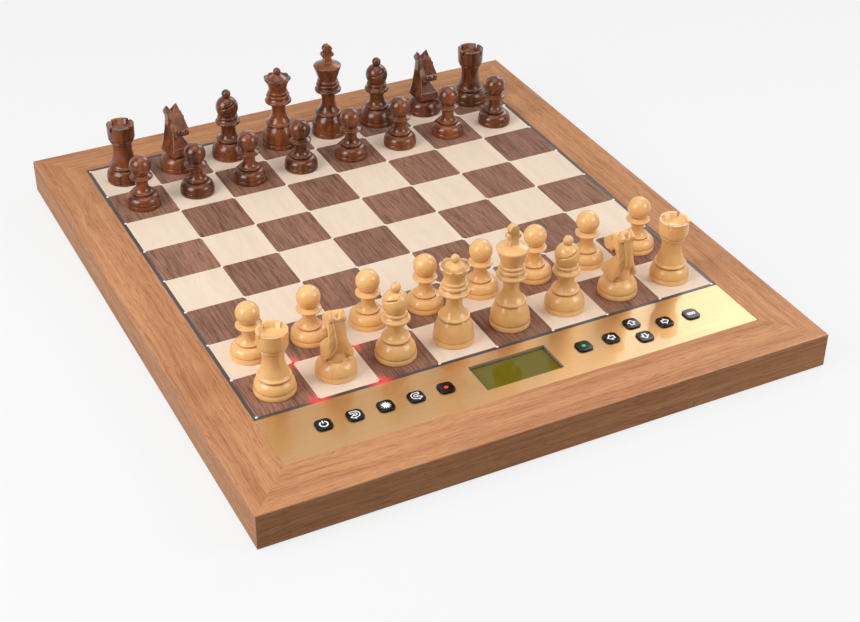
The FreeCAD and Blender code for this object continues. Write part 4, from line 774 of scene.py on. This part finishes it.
class CHESS_OT_underside(ChessOperator):
    """Bottom panel with its screws and feet, and the power socket"""
    bl_idname = "chess.underside"
    bl_label = "Underside"

    def make(self, looks, sizes):
        paint("bottom_panel", pressed_fibre())
        # Moulded rubber: charcoal, matt, with a fine grit.
        paint("feet", moulded("moulded_rubber", colour("1B1B1C"), rough=0.7, grit=0.0009, depth=0.00004,
                              specular=0.3))
        # Glass-filled nylon of the socket: black, half matt.
        paint("power_socket", moulded("moulded_nylon", colour("141416"), rough=0.42, grit=0.0007, depth=0.00002))
        tree, given = new_tree("cross_screws", {
            "Across": "Int", "Along": "Int", "Half width": "Float", "Half depth": "Float", "Wide": "Float",
            "Deep": "Float", "Middle": "Vector", "Head": "Float", "Shank": "Float", "Head height": "Float",
            "Length": "Float", "Slot": "Float", "Steel": "Material"})
        lines = []
        for side in (-1.0, 1.0):
            for count, spread_by, apart, flip in (("Across", "Wide", "Half depth", False),
                                                  ("Along", "Deep", "Half width", True)):
                sideways = summed(tree, given[apart], side, "MULTIPLY")
                start = summed(tree, given[spread_by], -1.0, "MULTIPLY")
                gaps = summed(tree, given[count], 1.0, "SUBTRACT")
                step = summed(tree, summed(tree, given[spread_by], 2.0, "MULTIPLY"), gaps, "DIVIDE")
                lines.append(shape(tree, "MeshLine", count=given[count], offset=xyz(tree, {int(flip): step}),
                                   start_location=xyz(tree, {int(flip): start, int(not flip): sideways})))
        spots = shape(tree, "Transform", geometry=joined(tree, *lines), translation=given["Middle"])
        head = shape(tree, "MeshCone", vertices=24, radius_top=given["Shank"], radius_bottom=given["Head"],
                     depth=given["Head height"])
        rest = summed(tree, given["Length"], given["Head height"], "SUBTRACT")
        shank = shape(tree, "MeshCylinder", vertices=16, radius=given["Shank"], depth=rest)
        middle = summed(tree, given["Head height"], summed(tree, rest, 0.5, "MULTIPLY"))
        shank = shape(tree, "Transform", geometry=shank, translation=xyz(tree, {2: middle}))
        arm = summed(tree, given["Head"], 1.25, "MULTIPLY")
        deep = summed(tree, given["Head height"], 1.2, "MULTIPLY")
        pressed = put(tree, "GeometryNodeMeshBoolean", {"Mesh 1": head}, operation="DIFFERENCE")
        for flip in (False, True):
            size = xyz(tree, {int(flip): arm, int(not flip): given["Slot"], 2: deep})
            tree.links.new(shape(tree, "MeshCube", size=size), pressed.inputs["Mesh 2"])
        screw = joined(tree, pressed.outputs[0], shank)
        put(tree, "NodeGroupOutput", {0: strewn(tree, spots, screw, given["Steel"])})
        low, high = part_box("bottom_screws")
        head_radius, head_height, shank, corner, rebate = 3.2 * MM, 2.0 * MM, 1.6 * MM, 55.0 * MM, 5.0 * MM
        half = (high - low) / 2 - Vector((head_radius, head_radius, 0))
        screws = grown("countersunk_screws", tree, across=4, along=3, half_width=half.x, half_depth=half.y,
                       wide=half.x - rebate - corner, deep=half.y - rebate - corner,
                       middle=((low.x + high.x) / 2, (low.y + high.y) / 2, low.z), head=head_radius, shank=shank,
                       head_height=head_height, length=high.z - low.z, slot=sizes.screw_slot,
                       steel=plated_steel(looks, "zinc_plated_steel"))
        finished(screws, "board", (), "bottom_screws")


def side_finishes(looks):
    """Boxwood and rosewood under polished lacquer, their grain upright."""
    return {
        # Boxwood: honey yellow, close grained, with only faint lines.
        "white": ("boxwood", wood("lacquered_boxwood", looks.boxwood, looks.boxwood_dark, 2, streak=(0.0032, 0.040),
                                  contrast=(0.30, 0.22, 0.16), pore=(0.0006, 0.008), pore_depth=0.03, rough=0.36,
                                  coat=0.95, cells=(0.96, 1.04))),
        # Rosewood: red brown with dark streaks, and a deep gloss.
        "black": ("rosewood", wood("lacquered_rosewood", looks.rosewood, looks.rosewood_dark, 2,
                                   streak=(0.0060, 0.050), contrast=(0.55, 0.42, 0.16), pore=(0.0006, 0.009),
                                   pore_depth=0.20, rough=0.32, coat=0.95, cells=(0.60, 1.02))),
    }


class CHESS_OT_turned(ChessOperator):
    """Kings, queens, bishops, rooks and pawns"""
    bl_idname = "chess.turned"
    bl_label = "Turned pieces"

    def make(self, looks, sizes):
        finishes = side_finishes(looks)
        for node in NODES:
            side, _, kind = node.partition("_")
            if side not in finishes or kind.startswith("knight"):
                continue
            slot, finish = finishes[side]
            made = add_mesh("turned_" + node, merged(node))
            # Painted shade in the grooves, kept on the mesh for the wood.
            set_hollow_shade(made.data, self.grooves(made.data, node))
            finished(made, node, [finish], node, sharp=32.0)

    def grooves(self, mesh, node):
        """How much painted shade darkens each point: how far it lies in a groove, that is how much wider the piece is
        both above and below it.
        """
        low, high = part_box(node)
        x, y, z = (get_vectors(mesh, "co") - numpy.array((low + high) / 2)).T / MM
        radius = numpy.hypot(x, y)
        step, reach = 0.2, 8
        level = numpy.round((z - z.min()) / step).astype(int) + reach
        widest = numpy.zeros(level.max() + reach + 1)
        numpy.maximum.at(widest, level, radius)
        count = numpy.arange(len(widest))
        known = (widest > 0) | (count < reach) | (count > level.max())
        widest = numpy.interp(count, count[known], widest[known])
        above = numpy.max([widest[level + k] for k in range(1, reach + 1)], axis=0)
        below = numpy.max([widest[level - k] for k in range(1, reach + 1)], axis=0)
        # Grooves are darkened by painted shade, at most this much.
        groove_shade, bowl = 0.4, 7.0
        hollow_shade = groove_shade * ramp(numpy.minimum(above, below) - radius, 0.15, 1.1)
        if "rook" in node or "queen" in node:
            # No painted shade in the bowl on top, which is no groove.
            hollow_shade *= z < z.max() - bowl
        if "bishop" in node:
            # Painted shade darkens the cut in the mitre inside.
            hollow_shade = numpy.maximum(hollow_shade, ramp(widest[level] - radius, 0.3, 1.0))
        return hollow_shade


def get_vectors(mesh, name):
    """The places or normals of a mesh's points, one row each."""
    found = numpy.empty(len(mesh.vertices) * 3)
    mesh.vertices.foreach_get(name, found)
    return found.reshape(-1, 3)


def set_hollow_shade(mesh, depth):
    """Keeps how much painted shade darkens each point, for the material of the wood."""
    mesh.attributes.new("hollow_shade", "FLOAT", "POINT").data.foreach_set("value", depth)


def ramp(value, low, high):
    """Nought below low, one above high, and smooth between."""
    part = numpy.clip((value - low) / (high - low), 0.0, 1.0)
    return part * part * (3.0 - 2.0 * part)


def between(value, rise, fall):
    """One from the rise to the fall, each given by its two ends."""
    return ramp(value, *rise) * (1 - ramp(value, *fall))


def gouge(gap, width):
    """The section of a cut made with a round gouge."""
    return numpy.exp(-(gap / width) ** 2)


def round_back(points):
    """Rounds the upright corners of the roughed-out neck behind its middle. Millimetres from its foot."""
    x, y, z = points.T
    level = numpy.round(z).astype(int)
    wide, deep = numpy.ones(level.max() + 1), numpy.ones(level.max() + 1)
    numpy.maximum.at(wide, level, numpy.abs(x) * (y < 0))
    numpy.maximum.at(deep, level, -y)
    count = numpy.arange(len(wide))
    part = [numpy.interp(z, count, numpy.convolve(numpy.pad(reach, 1, "edge"), (0.25, 0.5, 0.25), "valid"))
            for reach in (wide, deep)]
    power = 2.9
    over = ((numpy.abs(x) / part[0]) ** power + (numpy.maximum(-y, 0.0) / part[1]) ** power) ** (1 / power)
    share = (1 / numpy.maximum(over, 1.0) - 1) * between(z, (19, 23), (55, 59)) * (y < 0)
    return points + numpy.stack((x * share, y * share, 0 * z), axis=1)


def carve_knight(points, normals):
    """Cuts mane, back, eyes, mouth, nostrils and ears into the roughed-out knight, which looks along +Y, and paints
    shade into its hollows and throat. Millimetres from its foot. Returns the moved points and how much painted shade
    darkens each."""
    x, y, z = points.T
    side = numpy.abs(x)
    radius = numpy.hypot(x, y)
    hollow_shade = numpy.zeros(len(points))
    depth = numpy.zeros(len(points))

    # The mane falls to the left. Its notched edge runs down the middle of the back and sweeps forward at the
    # shoulder. The smooth back beside it lies deeper and ends in the round neck of the foot.
    around = x + numpy.sign(x) * 0.75 * numpy.maximum(y + 12.5, 0.0)
    heights = [18.5, 21, 23, 25, 28, 31, 34, 38, 43, 48, 52, 58, 61]
    edge = numpy.interp(z, heights, [-17.0, -13.6, -10.8, -7.8, -4.6, -2.8, -1.9, -1.6, -2.2, -2.9, -3.9, -5.6, -6.2])
    far_edge = numpy.interp(z, heights, [17.0, 13.6, 11.6, 10.4, 9.8, 9.6, 9.6, 9.6, 9.4, 9.2, 9.0, 8.6, 8.4])
    notch, pitch = 0.9, 2.4
    teeth = notch * numpy.abs((z / pitch) % 1.0 - 0.5) * between(z, (30, 34), (56, 58))
    back = ramp(around - edge - teeth, 0.0, 0.6) * ramp(far_edge - around, 0.0, 2.0)
    back *= (1 - ramp(z, 58.4, 59.2)) * (1 - ramp(y, -3.0, 0.0))
    depth += back * (1.9 - 1.3 * ramp(around, 0.0, 8.0)) * ramp(z, 19.0, 29.0)
    # Painted shade along the notched edge of the mane.
    hollow_shade += 0.45 * gouge(around - edge - teeth - 0.5, 0.45) * back * ramp(z, 24.0, 28.0)
    rim = radius[z < z.min() + 0.5].max()  # of the turned foot
    spare = numpy.maximum(radius - rim, 0.0) * back * between(z, (17.0, 18.5), (24, 33))

    # Locks of the mane, cut side by side along its edge, with painted shade in each cut.
    locks, width, rise = 5, 1.35, 1.6
    for lock in range(locks):
        line = edge - width - width * lock + 0.22 * numpy.sin(z * 0.8 + lock)
        groove = gouge(around - line, 0.45) * (1 - ramp(y, -1.0, 2.0))
        groove *= between(z, (23 + rise * lock, 30 + rise * lock), (57.2, 58.8))
        depth += (0.95 - 0.07 * lock) * groove
        hollow_shade += 0.30 * groove

    # Eyes under a brow, nostrils, mouth and hollowed ears, and painted shade in the eyes, nostrils, mouth and the
    # deep throat.
    on_side = ramp(side, 3.6, 4.6) * ramp(numpy.abs(normals[:, 0]), 0.3, 0.6)
    eye_y, eye_z, brow_y, brow_z = 6.4, 54.2, 6.0, 57.2
    eye = numpy.hypot(y - eye_y, z - eye_z)
    depth += on_side * (0.7 * gouge(eye - 1.6, 0.45) - 0.6 * gouge(eye, 1.0))
    depth -= on_side * 0.9 * gouge(y - brow_y, 2.6) * gouge(z - brow_z, 0.8)
    hollow_shade += 0.6 * on_side * gouge(eye - 1.5, 0.35)
    nostril_x, nostril_y, nostril_z = 3.0, 18.2, 46.4
    nostril = numpy.sqrt((side - nostril_x) ** 2 + (y - nostril_y) ** 2 + (z - nostril_z) ** 2)
    depth += 1.3 * gouge(nostril, 0.85)
    hollow_shade += gouge(nostril, 0.9)
    mouth = z - (42.9 + 0.10 * (y - 16.8))
    depth += 0.75 * gouge(mouth, 0.42) * ramp(y, 11.0, 13.0)
    hollow_shade += 0.5 * gouge(mouth, 0.3) * ramp(y, 11.5, 13.0)
    lip = gouge(z - 44.8, 1.6) * ramp(y, 9.0, 11.0)
    depth -= 0.3 * lip * numpy.cos((y - 16.0) * 2.6) * on_side
    throat_y, throat_z = 2.6, 41.0
    throat = numpy.hypot(y - throat_y, z - throat_z)
    hollow_shade += 0.75 * (1 - ramp(throat, 1.2, 3.2)) * ramp(side, 2.5, 3.5)
    ear_x, ear_z = 3.9, 63.8
    depth += gouge(side - ear_x, 1.4) * gouge(z - ear_z, 2.2) * ramp(normals[:, 1], 0.0, 0.4) * ramp(z, 60.8, 62.0)

    moved = points - normals * depth[:, None]
    moved[:, 0] -= x / radius * spare
    moved[:, 1] -= y / radius * spare
    # A round scoop parts the ears.
    moved[:, 2] -= 1.5 * gouge(x, 2.5) * ramp(z, 57.5, 60.5) * (1 - ramp(y, 0.0, 3.0))
    return moved, numpy.clip(hollow_shade, 0.0, 1.0)


class CHESS_OT_knights(ChessOperator):
    """Knights: turned foot and carved head"""
    bl_idname = "chess.knights"
    bl_label = "Carved knights"

    def make(self, looks, sizes):
        pattern = self.pattern(sizes)
        finishes = side_finishes(looks)
        for node, turn in KNIGHT_TURNS.items():
            side, letter = node.split("_knight_")
            rank = 0 if side == "white" else SQUARES - 1
            stand = Matrix.Translation(square_middle(FILES.index(letter), rank))
            mesh = pattern.copy()
            mesh.transform(stand @ Matrix.Rotation(math.radians(turn), 4, "Z"))
            slot, finish = finishes[side]
            finished(add_object("carved_" + node, mesh), node, [finish], node, sharp=50.0)
        bpy.data.meshes.remove(pattern)

    def pattern(self, sizes):
        """One knight about its own axis: the turned foot as it is, and above it the carving."""
        away = Matrix.Translation(-square_middle(FILES.index("g"), 0))
        neck = 17.3 * MM
        rough = add_mesh("knight_block", cut(self.solid(away), neck, True))
        modified(rough, "REMESH", mode="VOXEL", voxel_size=sizes.carving_voxel)
        modified(rough, "SMOOTH", factor=0.5, iterations=12)
        block = evaluated(rough)
        bpy.data.objects.remove(rough)
        points = round_back(get_vectors(block, "co") / MM)
        block.vertices.foreach_set("co", (points * MM).ravel())
        block.update()
        points, hollow_shade = carve_knight(points, get_vectors(block, "normal"))
        block.vertices.foreach_set("co", (points * MM).ravel())
        set_hollow_shade(block, hollow_shade)
        block.update()
        carved = add_object("knight_carving", block)
        modified(carved, "SMOOTH", factor=0.35, iterations=1)
        modified(carved, "DECIMATE", ratio=0.55)
        made = cut(self.solid(away), neck, False)
        head_mesh = evaluated(carved)
        made.from_mesh(head_mesh)
        bpy.data.objects.remove(carved)
        bpy.data.meshes.remove(head_mesh)
        foot_and_head = add_mesh("knight_pattern", made)
        pattern = foot_and_head.data
        bpy.data.objects.remove(foot_and_head)
        return pattern

    def solid(self, away):
        made = merged("white_knight_g")
        made.transform(away)
        return made


# Stage

class CHESS_OT_stage(ChessOperator):
    """Pale floor, soft light and the camera"""
    bl_idname = "chess.stage"
    bl_label = "Stage"

    def make(self, looks, sizes):
        scene = bpy.context.scene
        scene.view_settings.view_transform = "Standard"
        self.floor(looks)
        self.world(scene, looks)
        # Each light's place, what it shines at, the length of its side and its watts.
        for name, spot, aim, size, watts in (
                ("overhead", (-0.20, -0.15, 1.9), (0.0, 0.0, 0.0), 1.5, 12.0),
                ("rear_window", (1.55, 1.02, 1.22), (0.0, 0.0, 0.05), 0.9, 8.5),
                ("right_window", (0.90, -0.85, 0.74), (0.0, 0.0, 0.05), 0.75, 8.0),
                ("left_window", (-1.35, -0.15, 0.95), (0.0, 0.0, 0.05), 1.0, 19.5)):
            light = bpy.data.lights.new(name, "AREA")
            light.shape = "SQUARE"
            light.size = size
            light.energy = watts
            lamp = add_object(name, light)
            lamp.location = spot
            lamp.rotation_euler = (Vector(aim) - Vector(spot)).to_track_quat("-Z", "Y").to_euler()
        self.camera(scene)

    def floor(self, looks):
        # Seamless paper: pale to the eye and in reflections, and it keeps part of the shadow.
        made = bmesh.new()
        bmesh.ops.create_grid(made, x_segments=2, y_segments=2, size=6.0)
        floor = add_mesh("paper_floor", made)
        material = bpy.data.materials.new("seamless_paper")
        tree = blank(material)
        rays = put(tree, "ShaderNodeLightPath")
        seen = summed(tree, rays.outputs["Is Camera Ray"], rays.outputs["Is Glossy Ray"], "MAXIMUM")
        seen = summed(tree, seen, rays.outputs["Is Transmission Ray"], "MAXIMUM")
        paper = speckle(tree, place(tree), (0.002, 0.002, 0.002))
        dim = mixed(tree, spread(tree, paper, 0.0, 1.0, 0.0, 0.02), colour("6C6A68"), colour("63615F"))
        bounce = put(tree, "ShaderNodeBsdfDiffuse", {"Color": dim})
        lit = put(tree, "ShaderNodeBsdfDiffuse", {"Color": looks.backdrop})
        pale = put(tree, "ShaderNodeEmission", {"Color": looks.backdrop, "Strength": 1.0})
        own_light = 0.85
        shown = put(tree, "ShaderNodeMixShader", {0: own_light, 1: lit.outputs[0], 2: pale.outputs[0]})
        surface = put(tree, "ShaderNodeMixShader", {0: seen, 1: bounce.outputs[0], 2: shown.outputs[0]})
        put(tree, "ShaderNodeOutputMaterial", {"Surface": surface.outputs[0]})
        floor.data.materials.append(material)

    def world(self, scene, looks):
        # A pale room, bright behind the board and dim in front of it, as metal and gloss show it.
        scene.world = bpy.data.worlds.new("pale_room")
        tree = blank(scene.world)
        rays = put(tree, "ShaderNodeLightPath")
        glossy = summed(tree, rays.outputs["Is Glossy Ray"], rays.outputs["Is Transmission Ray"], "MAXIMUM")
        way = put(tree, "ShaderNodeTexCoord").outputs["Generated"]
        brightest = (0.55, 0.80, 0.24)
        bright = spread(tree, vector(tree, "DOT_PRODUCT", way, brightest), -0.1, 0.95, 0.12, 0.9)
        room = mixed(tree, 1.0, looks.backdrop, bright, "MULTIPLY")
        plain = mixed(tree, rays.outputs["Is Camera Ray"], colour("605E5C"), looks.backdrop)
        back = put(tree, "ShaderNodeBackground", {"Color": mixed(tree, glossy, plain, room), "Strength": 1.0})
        put(tree, "ShaderNodeOutputWorld", {"Surface": back.outputs[0]})

    def camera(self, scene):
        lens_data = bpy.data.cameras.new("photo_view")
        lens_data.sensor_width = 36.0
        lens_data.lens = 69.18
        lens_data.clip_end = 30.0
        camera = add_object("photo_view", lens_data)
        # Fitted to the grid corners in the photo, so its heights count from the playing surface.
        spot = Vector((-0.57340745, -1.1764506, SURFACE + 0.82210205))
        aim = Vector((-0.02712836, -0.11469543, SURFACE))
        roll = 0.6017
        camera.location = spot
        straight = (aim - spot).to_track_quat("-Z", "Y").to_matrix()
        camera.rotation_euler = (straight @ Matrix.Rotation(math.radians(roll), 3, "Z")).to_euler()
        scene.camera = camera


STEPS = (CHESS_OT_frame, CHESS_OT_board, CHESS_OT_lamps, CHESS_OT_panel, CHESS_OT_buttons, CHESS_OT_underside,
         CHESS_OT_turned, CHESS_OT_knights, CHESS_OT_stage)


class CHESS_PT_looks(bpy.types.Panel):
    """Lists the steps, sizes and colours"""
    bl_idname = "CHESS_PT_looks"
    bl_label = "Chess computer"
    bl_space_type = "VIEW_3D"
    bl_region_type = "UI"
    bl_category = "Chess computer"

    def draw(self, context):
        for step in STEPS:
            self.layout.operator(step.bl_idname)
        for group in (context.scene.chess_sizes, context.scene.chess_colours):
            for name in group.__annotations__:
                self.layout.prop(group, name)


CLASSES = (ChessComputerColours, ChessComputerSizes, *STEPS, CHESS_PT_looks)


def register():
    for made in CLASSES:
        bpy.utils.register_class(made)
    bpy.types.Scene.chess_colours = PointerProperty(type=ChessComputerColours)
    bpy.types.Scene.chess_sizes = PointerProperty(type=ChessComputerSizes)


def unregister():
    del bpy.types.Scene.chess_sizes
    del bpy.types.Scene.chess_colours
    for made in reversed(CLASSES):
        bpy.utils.unregister_class(made)


def main():
    register()
    for step in STEPS:
        family, _, name = step.bl_idname.partition(".")
        getattr(getattr(bpy.ops, family), name)()


if __name__ == "__main__":
    main()
